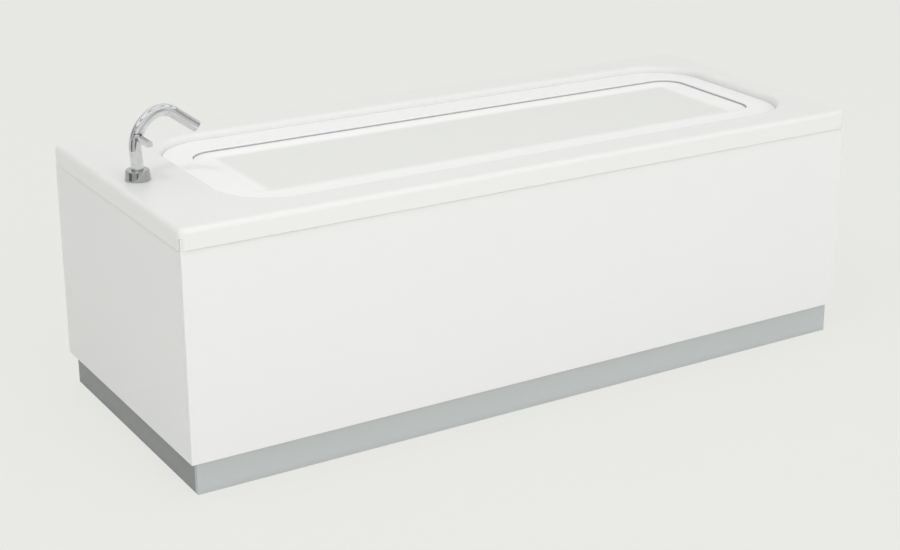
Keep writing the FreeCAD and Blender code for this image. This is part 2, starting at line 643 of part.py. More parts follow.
# ---------------------------------------------------------------- wall brackets
def make_brackets():
    """Angle brackets on the back batten, which screw to the wall behind the bath."""
    brackets = []
    screws = []
    for k in (-1, 0, 1):
        x = "%d * bracket_spacing" % k
        span = (x + " - bracket_width / 2", x + " + bracket_width / 2")
        top = "skirt_foot - panel_gap"
        plate = box("bracket_plate", span, ("half_width - bracket_wall", "half_width"),
                    (top + " - bracket_drop", top))
        bridge = box("bracket_bridge", span, ("bracket_tab", "half_width"),
                     (top + " - bracket_wall", top))
        tab = box("bracket_tab_up", span, ("bracket_tab", "bracket_tab + bracket_wall"),
                  (top + " - bracket_wall", "deck_under - timber_gap"))
        hole = cylinder("bracket_wall_hole", "bracket_hole", "3 * bracket_wall", "Y", x=x,
                        y="half_width - 2 * bracket_wall", z=top + " - bracket_drop / 2")
        pilot = cylinder("bracket_batten_hole", "bracket_hole", "3 * bracket_wall", "Y", x=x,
                         y="bracket_tab - bracket_wall", z="batten_foot + batten_height / 2")
        brackets.append(cut("bracket_%d" % (k + 2), fuse("bracket_solid", plate, bridge, tab), hole,
                            pilot))
        head = cylinder("bracket_screw_head", "screw_head_width", "screw_head_height", "Y", x=x,
                        y="bracket_tab + bracket_wall", z="batten_foot + batten_height / 2")
        shank = cylinder("bracket_screw_shank", "bracket_hole - 0.4", "bracket_wall", "Y", x=x,
                         y="bracket_tab", z="batten_foot + batten_height / 2")
        screws.append(fuse("bracket_screw_%d" % (k + 2), head, shank))
    node(group("brackets", brackets), "wall_brackets")
    node(group("bracket_fixings", screws), "bracket_screws")


make_brackets()


# ---------------------------------------------------------------- cradle and feet
def make_cradle():
    """Two steel channels screwed under the baseboard, each standing on two levelling feet."""
    nuts = []
    screws = []
    foot = 0
    for end, x_sign in (("tap", -1), ("far", 1)):
        x = channel_x(x_sign)
        span = (x + " - channel_width / 2", x + " + channel_width / 2")
        blank = box("channel_blank", span, ("-channel_length / 2", "channel_length / 2"),
                    ("channel_foot", "board_foot"))
        hollow = box("channel_hollow", (span[0] + " + channel_wall", span[1] + " - channel_wall"),
                     ("-channel_length / 2 - 1", "channel_length / 2 + 1"),
                     ("channel_foot - 1", "board_foot - channel_wall"))
        tools = [hollow]
        for y_sign in (-1, 1):
            y = "%d * foot_spacing / 2" % y_sign
            foot += 1
            tools.append(cylinder("rod_hole", "rod_diameter + 2 * thread_gap", "3 * channel_wall", x=x,
                                  y=y, z="board_foot - 2 * channel_wall"))
            for low in ("board_foot - channel_wall - nut_height", "board_foot"):
                nuts.append(lock_nut(x, y, low))
            make_foot(foot, x, y)
        for screw_x, y in cradle_screw_spots([x_sign]):
            tools.append(cylinder("board_screw_hole", "screw_diameter + 1", "3 * channel_wall",
                                  x=screw_x, y=y, z="board_foot - 2 * channel_wall"))
            head = cylinder("board_screw_head", "screw_head", "channel_wall", x=screw_x, y=y,
                            z="board_foot - 2 * channel_wall")
            shank = cylinder("board_screw_shank", "screw_diameter", "channel_wall + screw_length",
                             x=screw_x, y=y, z="board_foot - channel_wall")
            screws.append(fuse("board_screw", head, shank))
        node(cut("channel_" + end, blank, *tools), "cradle_channel_" + end)
    node(group("nuts", nuts), "foot_lock_nuts")
    node(group("board_screws", screws), "cradle_screws")


def lock_nut(x, y, low):
    """A hexagon nut on a foot's rod."""
    bar = hex_bar("nut_blank", "nut_width", "nut_height", x, y, low)
    bore = cylinder("nut_bore", "rod_diameter + 2 * thread_gap", "nut_height + 2", x=x, y=y,
                    z=low + " - 1")
    return cut("lock_nut", bar, bore)


def make_foot(number, x, y):
    """One levelling foot: a threaded rod seated in a flared plastic cup."""
    rod = cylinder("rod_%d" % number, "rod_diameter", "rod_top - rod_seat", x=x, y=y, z="rod_seat")
    node(rod, "foot_rod_%d" % number)
    base = cylinder("cup_base", "cup_diameter", "cup_rim", x=x, y=y)
    flare = cone("cup_flare", "cup_diameter", "cup_neck", "cup_height - cup_rim", x, y, "cup_rim")
    socket = cylinder("cup_socket", "rod_diameter + 2 * thread_gap", "cup_height", x=x, y=y, z="rod_seat")
    node(cut("cup_%d" % number, fuse("cup_solid", base, flare), socket), "foot_cup_%d" % number)


make_cradle()


# ---------------------------------------------------------------- bent pipes
DOWN_TO_X = Rotation(Vector(1, 0, 0), Vector(0, 0, -1), Vector(0, 1, 0), "XYZ")
DOWN_TO_Y = Rotation(Vector(0, 1, 0), Vector(0, 0, -1), Vector(-1, 0, 0), "XYZ")
DOWN_TO_MINUS_Y = Rotation(Vector(0, -1, 0), Vector(0, 0, -1), Vector(1, 0, 0), "XYZ")
UP_TO_X = Rotation(Vector(1, 0, 0), 90)


def place(obj, rotation, spot):
    """Turns an object and ties its place to the sheets."""
    obj.Placement = Placement(Vector(), rotation)
    return move(obj, *spot)


def path(label, steps, rotation, spot):
    """A smooth sketched line of runs and turns, from the sketch's origin along its own Y."""
    sketch = DOC.addObject("Sketcher::SketchObject", label)
    place(sketch, rotation, spot)
    x, y, heading, exit_end = 0.0, 0.0, 90.0, None
    for k, step in enumerate(steps):
        if step[0] == "run":
            length = number_of(step[1])
            end = (x + length * math.cos(math.radians(heading)),
                   y + length * math.sin(math.radians(heading)))
            sketch.addGeometry(line((x, y), end))
            enter, leave = 1, 2
            named = (("length_%d" % k, Sketcher.Constraint("Distance", k, length), step[1]),)
        else:
            radius, sweep, side = number_of(step[1]), number_of(step[2]), step[3]
            out = math.radians(heading - 90 * side)
            centre = (x - radius * math.cos(out), y - radius * math.sin(out))
            first, last = sorted((out, out + side * math.radians(sweep)))
            ring = Part.Circle(Vector(centre[0], centre[1], 0), Vector(0, 0, 1), radius)
            sketch.addGeometry(Part.ArcOfCircle(ring, first, last))
            enter, leave = (1, 2) if side > 0 else (2, 1)
            away = out + side * math.radians(sweep)
            end = (centre[0] + radius * math.cos(away), centre[1] + radius * math.sin(away))
            heading += side * sweep
            named = (("radius_%d" % k, Sketcher.Constraint("Radius", k, radius), step[1]),
                     ("sweep_%d" % k, Sketcher.Constraint("Angle", k, math.radians(sweep)), step[2]))
        if k == 0:
            sketch.addConstraint(Sketcher.Constraint("Coincident", 0, 1, -1, 1))
            sketch.addConstraint(Sketcher.Constraint("Vertical", 0))
        else:
            sketch.addConstraint(Sketcher.Constraint("Tangent", k - 1, exit_end, k, enter))
        for name, constraint, expression in named:
            index = sketch.addConstraint(constraint)
            sketch.renameConstraint(index, name)
            sketch.setExpression("Constraints." + name, bound(expression))
        x, y, exit_end = end[0], end[1], leave
    return sketch


def bent_bar(label, diameter, steps, rotation, spot):
    """A round bar swept along a path."""
    spine = path(label + "_path", steps, rotation, spot)
    ring = DOC.addObject("Sketcher::SketchObject", label + "_ring")
    place(ring, rotation.multiply(Rotation(Vector(1, 0, 0), -90)), spot)
    radius = number_of(diameter) / 2
    ring.addGeometry(Part.Circle(Vector(), Vector(0, 0, 1), radius))
    ring.addConstraint(Sketcher.Constraint("Coincident", 0, 3, -1, 1))
    ring.renameConstraint(ring.addConstraint(Sketcher.Constraint("Diameter", 0, 2 * radius)), "width")
    ring.setExpression("Constraints.width", bound(diameter))
    sweep = DOC.addObject("Part::Sweep", label)
    sweep.Sections = [ring]
    sweep.Spine = (spine, ["Edge%d" % (k + 1) for k in range(len(steps))])
    sweep.Solid = True
    return sweep


# ---------------------------------------------------------------- waste, plug and trap
def make_waste():
    """Flange, body, seal, lift-up plug and the trap below."""
    spot = {"x": "waste_x"}
    top = "waste_flange_thickness"
    sleeve = turned("flange_sleeve", [
        ("waste_bore / 2", "0"), ("waste_tube / 2", "0"), ("waste_tube / 2", "waste_tube_depth"),
        ("waste_flange_diameter / 2", "waste_tube_depth"),
        ("waste_flange_diameter / 2 - " + top, "waste_tube_depth + " + top),
        ("waste_bore / 2", "waste_tube_depth + " + top)], z="well_floor - waste_tube_depth", **spot)
    low = "well_floor - waste_tube_depth"
    hub = cylinder("spider_hub_bar", "spider_hub", "spider_height", z=low, **spot)
    spokes = [box("spoke_x", ("waste_x - waste_bore / 2 - 1", "waste_x + waste_bore / 2 + 1"),
                  ("-spoke_width / 2", "spoke_width / 2"), (low, low + " + spider_height")),
              box("spoke_y", ("waste_x - spoke_width / 2", "waste_x + spoke_width / 2"),
                  ("-waste_bore / 2 - 1", "waste_bore / 2 + 1"), (low, low + " + spider_height"))]
    guide = cylinder("spider_bore", "plug_stem_diameter + 2 * thread_gap", "spider_height + 2",
                     z=low + " - 1", **spot)
    node(cut("flange_with_guide", fuse("flange_and_spider", sleeve, hub, *spokes), guide), "waste_flange")

    seal = turned("seal_ring", ring_outline("waste_hole / 2", "waste_body_flange / 2", "0",
                                            "waste_seal_thickness"), z="waste_body_top", **spot)
    node(seal, "waste_seal")

    drop = "waste_body_drop"
    shell = turned("waste_shell", [
        ("pipe_diameter / 2 - pipe_wall", "0"), ("waste_body_diameter / 2", "0"),
        ("waste_body_diameter / 2", drop + " - waste_flange_depth"),
        ("waste_body_flange / 2", drop + " - waste_flange_depth"), ("waste_body_flange / 2", drop),
        ("pipe_diameter / 2 - pipe_wall", drop)], z="waste_body_foot", **spot)
    socket = cylinder("waste_socket", "overflow_socket", "socket_depth + waste_body_diameter / 4", "X",
                      x="waste_socket_end", z="overflow_inlet")
    boss = cylinder("waste_cable_boss", "cable_boss", "2 * cable_boss", "X", x="cable_end - cable_boss",
                    y="-cable_offset", z="overflow_inlet")
    bores = [
        cylinder("waste_cavity_bore", "waste_cavity", drop, z="waste_body_foot + 2 * pipe_wall", **spot),
        cylinder("waste_tube_bore", "waste_tube + 4 * thread_gap", "waste_tube_depth",
                 z=low + " - 1", **spot),
        cylinder("waste_socket_bore", "overflow_pipe_diameter + 2 * socket_gap", "socket_depth", "X",
                 x="overflow_pipe_end + socket_gap - socket_depth", z="overflow_inlet"),
        cylinder("waste_side_bore", "overflow_pipe_diameter - 2 * overflow_pipe_wall",
                 "waste_body_diameter / 2", "X", x="overflow_pipe_end - 1", z="overflow_inlet"),
        cylinder("waste_cable_bore", "cable_diameter + 2 * socket_gap", "3 * cable_boss", "X",
                 x="cable_end + socket_gap - 3 * cable_boss", y="-cable_offset", z="overflow_inlet"),
    ]
    node(cut("waste_body_cut", fuse("waste_body_solid", shell, socket, boss), *bores), "waste_body")

    node(turned("plug_cap", [
        ("0", "0"), ("plug_diameter / 2 - 1", "0"), ("plug_diameter / 2", "1"),
        ("plug_diameter / 2", "plug_thickness / 2"), ("plug_diameter / 3", "plug_thickness"),
        ("0", "plug_thickness")], z="plug_foot", **spot), "waste_plug")
    stem = cylinder("stem_bar", "plug_stem_diameter", "plug_stem_length",
                    z="plug_foot - plug_stem_length", **spot)
    node(stem, "plug_stem")


def make_trap():
    """The bath trap, and the nut that holds it to the waste body."""
    steps = [("run", "trap_straight"), ("turn", "trap_bend", "180", -1), ("turn", "trap_bend", "90", 1),
             ("run", "half_width - outlet_setback - 3 * trap_bend")]
    spot = ("waste_x", "0", "waste_body_foot")
    pipe = bent_bar("trap_pipe", "pipe_diameter", steps, DOWN_TO_Y, spot)
    collar = cylinder("trap_collar", "pipe_diameter + 8", "trap_flange", x="waste_x",
                      z="waste_body_foot - trap_flange")
    bore = bent_bar("trap_bore", "pipe_diameter - 2 * pipe_wall", steps, DOWN_TO_Y, spot)
    node(cut("trap_cut", fuse("trap_solid", pipe, collar), bore), "trap")
    wide = "waste_body_diameter / 2 + socket_gap"
    node(turned("trap_ring", [
        ("pipe_diameter / 2 + socket_gap", "0"), ("trap_nut_diameter / 2", "0"),
        ("trap_nut_diameter / 2", "trap_nut_height"), (wide, "trap_nut_height"),
        (wide, "trap_nut_shoulder"), ("pipe_diameter / 2 + socket_gap", "trap_nut_shoulder")],
        x="waste_x", z="trap_nut_foot"), "trap_nut")


make_waste()
make_trap()


# ---------------------------------------------------------------- overflow and its plug control
PORT_COUNT = 6


def make_overflow():
    """Face plate, turning knob, seal and body, with the pipe and the cable's guide down to the waste."""
    plate = turned("face_plate", ring_outline("spindle_diameter / 2 + socket_gap", "overflow_face / 2",
                                              "0", "overflow_face_thickness"))
    collar = turned("face_collar", ring_outline("overflow_collar / 2 - overflow_pipe_wall",
                                                "overflow_collar / 2", "0", "2 * shell_wall + 1"))
    move(collar, z="-2 * shell_wall")
    ports = []
    for k in range(PORT_COUNT):
        turn = 360 / PORT_COUNT * k
        port = cylinder("face_port", "overflow_holes", "3 * overflow_face_thickness",
                        z="-overflow_face_thickness", x="port_reach * cos(%g)" % turn,
                        y="port_reach * sin(%g)" % turn)
        ports.append(port)
    node(overflow_part(cut("face_with_ports", fuse("face_solid", plate, collar), *ports), "0"),
         "overflow_face")

    knob_low = "overflow_rear - 2 * overflow_pipe_wall"
    reach = "(" + knob_low + " - 3 + overflow_face_thickness + knob_gap)"
    disc = turned("knob_disc", [
        ("0", "0"), ("spindle_diameter / 2", "0"), ("spindle_diameter / 2", reach),
        ("knob_diameter / 2 - 1.5", reach), ("knob_diameter / 2", reach + " + 1.5"),
        ("knob_diameter / 2", reach + " + knob_thickness - 2"),
        ("knob_diameter / 2 - 2", reach + " + knob_thickness"), ("0", reach + " + knob_thickness")])
    ridge = box("knob_ridge", ("-knob_ridge_length / 2", "knob_ridge_length / 2"),
                ("-knob_ridge_width / 2", "knob_ridge_width / 2"),
                (reach + " + knob_thickness - 1", reach + " + knob_thickness + knob_ridge_height"))
    node(overflow_part(fuse("knob_solid", disc, ridge), "3 - (" + knob_low + ")"), "overflow_knob")

    seal = turned("overflow_ring", ring_outline("overflow_hole / 2", "overflow_body_diameter / 2", "0",
                                                "overflow_seal_thickness"))
    node(overflow_part(seal, "-overflow_seat"), "overflow_seal")

    drum = overflow_part(cylinder("overflow_drum", "overflow_body_diameter", "overflow_body_depth"),
                         "-overflow_rear")
    socket = cylinder("overflow_down_socket", "overflow_socket", "socket_depth + 12", x="overflow_pipe_x",
                      z="overflow_pipe_top - socket_depth")
    boss = cylinder("overflow_cable_boss", "cable_boss", "2 * cable_boss", x="overflow_pipe_x",
                    y="-cable_offset", z="cable_top - cable_boss")
    bores = [
        overflow_part(cylinder("overflow_cavity_bore", "overflow_cavity", "overflow_body_depth"),
                      "-overflow_rear + 2 * overflow_pipe_wall"),
        cylinder("overflow_socket_bore", "overflow_pipe_diameter + 2 * socket_gap",
                 "socket_depth + 1 + socket_gap", x="overflow_pipe_x",
                 z="overflow_pipe_top - socket_depth - 1"),
        cylinder("overflow_down_bore", "overflow_pipe_diameter - 4 * overflow_pipe_wall", "socket_depth",
                 x="overflow_pipe_x", z="overflow_pipe_top - 1"),
        cylinder("overflow_cable_bore", "cable_diameter + 2 * socket_gap", "2 * cable_boss",
                 x="overflow_pipe_x", y="-cable_offset", z="cable_top + socket_gap - 2 * cable_boss"),
    ]
    behind = box("overflow_clear", ("overflow_x - overflow_rear - 40", "overflow_x - overflow_rear + 60"),
                 ("-overflow_body_diameter", "overflow_body_diameter"),
                 ("overflow_height - 2 * overflow_body_diameter",
                  "overflow_height + 2 * overflow_body_diameter"))
    solid = fuse("overflow_body_solid", drum, socket, boss)
    node(cut("overflow_body_cut", keep_inside("overflow_body_trim", solid, behind), *bores),
         "overflow_body")

    bend = "overflow_bend"
    steps = [("run", "overflow_pipe_top - overflow_inlet - " + bend), ("turn", bend, "90", -1),
             ("run", "overflow_pipe_end - overflow_pipe_x - " + bend)]
    spot = ("overflow_pipe_x", "0", "overflow_pipe_top")
    pipe = bent_bar("overflow_tube", "overflow_pipe_diameter", steps, DOWN_TO_X, spot)
    bore = bent_bar("overflow_tube_bore", "overflow_pipe_diameter - 2 * overflow_pipe_wall", steps,
                    DOWN_TO_X, spot)
    node(cut("overflow_pipe_cut", pipe, bore), "overflow_pipe")
    steps = [("run", "cable_top - overflow_inlet - " + bend), ("turn", bend, "90", -1),
             ("run", "cable_end - overflow_pipe_x - " + bend)]
    start = ("overflow_pipe_x", "-cable_offset", "cable_top")
    node(bent_bar("cable", "cable_diameter", steps, DOWN_TO_X, start), "cable_guide_tube")


def keep_inside(label, shape, limit):
    """The part of a shape that lies inside another."""
    common = DOC.addObject("Part::Common", label)
    common.Base = shape
    common.Tool = limit
    return common


make_overflow()


# ---------------------------------------------------------------- tap
def sphere(label, diameter, x="0", y="0", z="0"):
    """A ball about a place."""
    ball = DOC.addObject("Part::Sphere", label)
    bind(ball, Radius="(%s) / 2" % diameter)
    return move(ball, x, y, z)


SPOUT_STEPS = [("run", "spout_rise"), ("turn", "lean_radius", "spout_lean", 1), ("run", "lean_run"),
               ("turn", "arch_radius", "90 + spout_lean - arch_end_angle", -1),
               ("turn", "crown_radius", "arch_end_angle + nose_angle", -1), ("run", "nose_length")]


def make_tap_column():
    """Foot ring, gasket, the bent column and its nozzle."""
    slack = "spout_diameter / 2 + thread_gap"
    node(turned("foot_ring", [
        ("gasket_diameter / 2 + thread_gap", "0"), ("ring_foot_diameter / 2", "0"),
        ("ring_foot_diameter / 2", "2"), ("ring_top_diameter / 2", "ring_height - 1.5"),
        ("ring_top_diameter / 2 - 1.5", "ring_height"), (slack, "ring_height"),
        (slack, "gasket_thickness + thread_gap"),
        ("gasket_diameter / 2 + thread_gap", "gasket_thickness + thread_gap")],
        x="tap_x", z="rim_height"), "tap_base_ring")
    gasket = turned("foot_gasket", ring_outline("tap_hole / 2", "gasket_diameter / 2", "0",
                                                "gasket_thickness"), x="tap_x", z="rim_height")
    node(gasket, "tap_gasket")

    spot = ("tap_x", "0", "rim_height")
    tube = bent_bar("spout_tube", "spout_diameter", SPOUT_STEPS, UP_TO_X, spot)
    bore = bent_bar("spout_bore", "spout_diameter - 2 * spout_wall", SPOUT_STEPS, UP_TO_X, spot)
    node(cut("spout_cut", tube, bore, lever_window("spout_window", "window_gap")), "tap_spout")

    face = "spout_diameter / 2 - spout_wall - thread_gap"
    disc = turned("aerator_disc", [("0", "0"), (face, "0"), (face, "aerator_length"),
                                   ("0", "aerator_length")])
    jets = [cylinder("aerator_jet", "middle_jet", "aerator_length + 2", z="-1")]
    for reach, count in (("inner_jets", 6), ("outer_jets", 12)):
        for k in range(count):
            turn = 360.0 * k / count
            jets.append(cylinder("aerator_jet", "small_jet", "aerator_length + 2", z="-1",
                                 x="%s * cos(%g)" % (reach, turn), y="%s * sin(%g)" % (reach, turn)))
    nozzle = cut("aerator_with_jets", disc, *jets)
    back = "(aerator_length + aerator_recess)"
    nozzle.Placement = Placement(Vector(), Rotation(Vector(0, 1, 0), 90 + value("nose_angle")))
    move(nozzle, "tip_x - %s * cos(nose_angle)" % back, "0", "tip_z + %s * sin(nose_angle)" % back)
    node(nozzle, "aerator")


def lever_window(label, extra):
    """The block of space in the column's front through which the lever's neck moves."""
    return box(label, ("pivot_x - window_side - " + extra, "pivot_x + window_side + " + extra),
               ("-spout_diameter", "0"),
               ("lever_z - window_down - " + extra, "lever_z + window_up + " + extra))


def make_tap_lever():
    """The mixing cartridge in the arch, and the lever on its ball."""
    ring = DOC.addObject("Part::Torus", "cartridge_ring")
    ring.Placement = Placement(Vector(), UP_TO_X)
    bind(move(ring, "arch_x", "0", "arch_z"), Radius1="arch_radius",
         Radius2="spout_diameter / 2 - spout_wall - ball_gap")
    middle = box("cartridge_span", ("pivot_x - spout_diameter", "pivot_x + spout_diameter"),
                 ("-spout_diameter", "spout_diameter"),
                 ("lever_z - 0.75 * spout_diameter", "lever_z + 0.75 * spout_diameter"))
    pivot = {"x": "pivot_x", "z": "lever_z"}
    hollow = cylinder("ball_seat", "ball_diameter + 2 * ball_gap",
                      "(spout_diameter + ball_diameter) / 2 + ball_gap",
                      "Y", y="-spout_diameter / 2", **pivot)
    spindle_bore = cylinder("yoke_spindle_bore", "hinge_pin_diameter + 2 * yoke_gap", "yoke_height + 1",
                            **pivot)
    node(cut("cartridge_cut", keep_inside("cartridge_plug", ring, middle), hollow, spindle_bore,
             lever_window("cartridge_window", "0")), "mixer_cartridge")
    cross_pin = cylinder("yoke_cross_pin", "hinge_pin_diameter", "ball_diameter - 2", "X",
                         x="pivot_x - ball_diameter / 2 + 1", z="lever_z")
    spindle = cylinder("yoke_spindle", "hinge_pin_diameter", "yoke_height", **pivot)
    node(fuse("yoke_solid", cross_pin, spindle), "lever_yoke")

    length = "lever_reach - lever_start"
    cut_back = "lever_chamfer"
    arm = DOC.addObject("PartDesign::Body", "lever_arm")
    inner_end = "%s - %s" % (length, cut_back)
    side = polygon(arm, "lever_side_view", [
        ("0", "0"), (inner_end, "0"), (length, cut_back), (length, "lever_side - " + cut_back),
        (inner_end, "lever_side"), ("0", "lever_side")],
        role="YZ_Plane")
    bar = pad(arm, side, "lever_side")
    DOC.recompute()
    long_side = value("lever_side") * 2

    def is_long(frame):
        return frame.YLength > long_side

    edges = edges_at(bar, 0, is_long) + edges_at(bar, value("lever_side"), is_long)
    round_edges(arm, bar, edges, "lever_round", "lever_edges")
    move(arm, "pivot_x - lever_side / 2", "-lever_reach", "lever_z - lever_side / 2")
    ball = sphere("lever_ball", "ball_diameter", **pivot)
    neck = cylinder("lever_neck", "neck_diameter", "lever_start + 2", "Y", x="pivot_x",
                    y="-lever_start - 2", z="lever_z")
    bore = cylinder("lever_pin_bore", "hinge_pin_diameter + 2 * hinge_pin_gap", "2 * ball_diameter", "X",
                    x="pivot_x - ball_diameter", z="lever_z")
    half_slot = "hinge_pin_diameter / 2 + ball_gap"
    tilt_room = "hinge_pin_diameter / 2 / cos(lever_lift) + ball_diameter / 2 * tan(lever_lift) + ball_gap"
    slot = box("lever_spindle_slot", ("pivot_x - (%s)" % half_slot, "pivot_x + " + half_slot),
               ("-(%s)" % tilt_room, "hinge_pin_diameter / 2 + ball_gap"),
               ("lever_z", "lever_z + ball_diameter"))
    node(cut("lever_cut", fuse("lever_solid", ball, neck, arm), bore, slot), "tap_lever")


def make_tap_fixings():
    """Threaded shank, washer, nut and the two copper tails with their nuts, below the deck."""
    shank = cylinder("shank_bar", "shank_diameter", "shank_length", x="tap_x", z="shank_foot")
    bores = [cylinder("shank_bore", "tail_diameter + 2 * thread_gap", "shank_length + 2", x="tap_x",
                      y="%d * tail_spacing / 2" % side, z="shank_foot - 1") for side in (-1, 1)]
    node(cut("shank_cut", shank, *bores), "tap_shank")
    inner = "shank_diameter / 2 + thread_gap"
    node(turned("fixing_washer", ring_outline(inner, "washer_diameter / 2", "0", "washer_thickness"),
                x="tap_x", z="batten_foot - washer_thickness"), "tap_washer")
    low = "batten_foot - washer_thickness - backnut_height"
    hexagon = hex_bar("backnut_bar", "backnut_diameter", "backnut_height", "tap_x", z=low)
    bore = cylinder("backnut_bore", "2 * (%s)" % inner, "backnut_height + 2", x="tap_x", z=low + " - 1")
    node(cut("backnut_cut", hexagon, bore), "tap_backnut")

    nuts = []
    top = "shank_foot + tail_inset"
    angle = "acos(1 - (tail_spread - tail_spacing) / 4 / tail_bend)"
    for side, rotation, label in ((-1, DOWN_TO_MINUS_Y, "hot_tail"), (1, DOWN_TO_Y, "cold_tail")):
        steps = [("run", "tail_inset + tail_straight"), ("turn", "tail_bend", angle, -1),
                 ("turn", "tail_bend", angle, 1),
                 ("run", "tail_length - tail_straight - 2 * tail_bend * sin(%s)" % angle)]
        spot = ("tap_x", "%d * tail_spacing / 2" % side, top)
        pipe = bent_bar(label + "_tube", "tail_diameter", steps, rotation, spot)
        bore = bent_bar(label + "_bore", "tail_diameter - 2", steps, rotation, spot)
        node(cut(label + "_cut", pipe, bore), label)
        y = "%d * tail_spread / 2" % side
        hexagon = hex_bar("tail_nut_bar", "tail_nut_width", "tail_nut_height", "tap_x", y,
                          "tail_foot - tail_socket")
        bores = [cylinder("tail_nut_bore", "tail_socket", "tail_socket + 1", x="tap_x", y=y,
                          z="tail_foot - tail_socket - 1"),
                 cylinder("tail_nut_throat", "tail_diameter + 2 * thread_gap", "tail_nut_height",
                          x="tap_x", y=y, z="tail_foot - 1")]
        nuts.append(cut("tail_nut", hexagon, *bores))
    node(group("tail_nut_pair", nuts), "tail_nuts")


make_tap_column()
make_tap_lever()
make_tap_fixings()


# ---------------------------------------------------------------- check and export
DOC.recompute()
for item in DOC.Objects:
    if "Invalid" in item.State or "Error" in item.State:
        raise RuntimeError("%s did not build: %s" % (item.Label, item.State))
for item in NODES:
    if item.Shape.isNull() or not item.Shape.isValid():
        raise RuntimeError("%s has no sound shape" % item.Label)
os.makedirs("parts", exist_ok=True)
for item in NODES:
    item.Shape.exportStep("parts/%s.step" % item.Label)
    print("wrote", item.Label)
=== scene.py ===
# %% [markdown]
# # A panelled bath with a lift-out cover
#
# A white acrylic bath, 1.7 m long, stands on a set-back plinth. Its long front and its tap end
# are panelled, a chrome tap stands on the end deck, and a fitted cover closes the deep well.
# The measured model is loaded first. Every piece made here sits in that model's frame: X runs
# along the bath away from the tap, Y from the panelled front to the wall behind, Z up.

# %% Load the measured model
import json
import math

import bmesh
import bpy
from mathutils import Matrix, Vector


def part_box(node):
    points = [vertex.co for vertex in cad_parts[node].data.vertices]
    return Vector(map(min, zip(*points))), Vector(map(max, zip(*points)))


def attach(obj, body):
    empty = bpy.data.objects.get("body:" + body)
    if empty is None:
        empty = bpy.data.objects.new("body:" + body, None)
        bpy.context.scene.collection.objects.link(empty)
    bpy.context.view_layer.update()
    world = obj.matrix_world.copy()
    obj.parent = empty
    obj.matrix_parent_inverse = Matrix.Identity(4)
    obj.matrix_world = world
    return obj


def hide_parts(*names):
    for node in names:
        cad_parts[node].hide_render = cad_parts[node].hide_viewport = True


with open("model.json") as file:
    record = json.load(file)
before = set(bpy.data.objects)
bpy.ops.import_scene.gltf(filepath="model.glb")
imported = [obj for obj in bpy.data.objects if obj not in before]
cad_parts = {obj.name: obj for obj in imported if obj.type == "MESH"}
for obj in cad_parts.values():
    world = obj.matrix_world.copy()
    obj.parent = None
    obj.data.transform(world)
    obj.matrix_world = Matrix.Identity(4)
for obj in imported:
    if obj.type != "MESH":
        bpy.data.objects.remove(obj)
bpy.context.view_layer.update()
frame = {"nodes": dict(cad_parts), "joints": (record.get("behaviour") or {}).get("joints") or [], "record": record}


def linked(name, data):
    """A new object in the scene."""
    made = bpy.data.objects.new(name, data)
    bpy.context.scene.collection.objects.link(made)
    return made

# %% [markdown]
# ## The camera
#
# The photograph was taken from the front left, a little above the rim, with a moderately long
# lens. The picture was cropped from a larger one, so the lens axis isn't at its middle, and the
# camera's shift reproduces that.

# %% Camera
IMAGE_WIDTH, IMAGE_HEIGHT = 900, 550
FOCAL_PIXELS = 1829.2
LENS_AXIS = (567.9, 202.1)
CAMERA_AT = Vector((-2.0975, -3.4758, 1.7009))
YAW, PITCH, ROLL = math.radians(34.431), math.radians(17.925), math.radians(0.849)
SENSOR = 36

ahead = Vector((math.sin(YAW) * math.cos(PITCH), math.cos(YAW) * math.cos(PITCH), -math.sin(PITCH)))
right = Vector((math.cos(YAW), -math.sin(YAW), 0))
up = right.cross(ahead)
right_rolled = right * math.cos(ROLL) + up * math.sin(ROLL)
up_rolled = up * math.cos(ROLL) - right * math.sin(ROLL)

lens = bpy.data.cameras.new("camera")
camera = linked("camera", lens)
turn = Matrix((right_rolled, up_rolled, -ahead)).transposed().to_4x4()
camera.matrix_world = Matrix.Translation(CAMERA_AT) @ turn
lens.sensor_width = SENSOR
lens.lens = SENSOR * FOCAL_PIXELS / IMAGE_WIDTH
lens.shift_x = (IMAGE_WIDTH / 2 - LENS_AXIS[0]) / IMAGE_WIDTH
lens.shift_y = (LENS_AXIS[1] - IMAGE_HEIGHT / 2) / IMAGE_WIDTH
lens.clip_end = 200
bpy.context.scene.camera = camera
print("lens:", round(lens.lens, 2), "mm, shift:", lens.shift_x, lens.shift_y)

# %% [markdown]
# ## Building materials from nodes
#
# A finish is a small graph of nodes. Writing each link by hand hides what the finish is, so
# short helpers do it, in the node tree that is being built at the time. A pattern is read from
# Object coordinates, which are in metres here, so a noise of scale 100 has features about a
# centimetre across.

# %% Node helpers
def add(kind, settings=(), **inputs):
    """A node whose inputs, by name or as _ and a number, are set or linked to an output."""
    node = tree.nodes.new("ShaderNode" + kind)
    for name, setting in dict(settings).items():
        setattr(node, name, setting)
    for name, source in inputs.items():
        socket = node.inputs[int(name[1:]) if name[1:].isdigit() else name.replace("_", " ")]
        if isinstance(source, bpy.types.NodeSocket):
            tree.links.new(source, socket)
        else:
            socket.default_value = source
    return node


def spots(stretch=(1, 1, 1), middle=(0, 0, 0)):
    """Object coordinates, stretched along each axis and measured from a middle in metres."""
    start = add("TexCoord").outputs["Object"]
    offset = tuple(-s * m for s, m in zip(stretch, middle))
    return add("Mapping", Vector=start, Scale=stretch, Location=offset).outputs[0]


def height_of(direction=None):
    """A place's height in metres, or how far a direction points up."""
    return add("SeparateXYZ", Vector=direction or spots()).outputs["Z"]


def noise(where, scale, detail=3.0, roughness=0.5):
    return add("TexNoise", Vector=where, Scale=scale, Detail=detail, Roughness=roughness).outputs[0]


def maths(operation, first, second=0):
    return add("Math", {"operation": operation}, _0=first, _1=second).outputs[0]


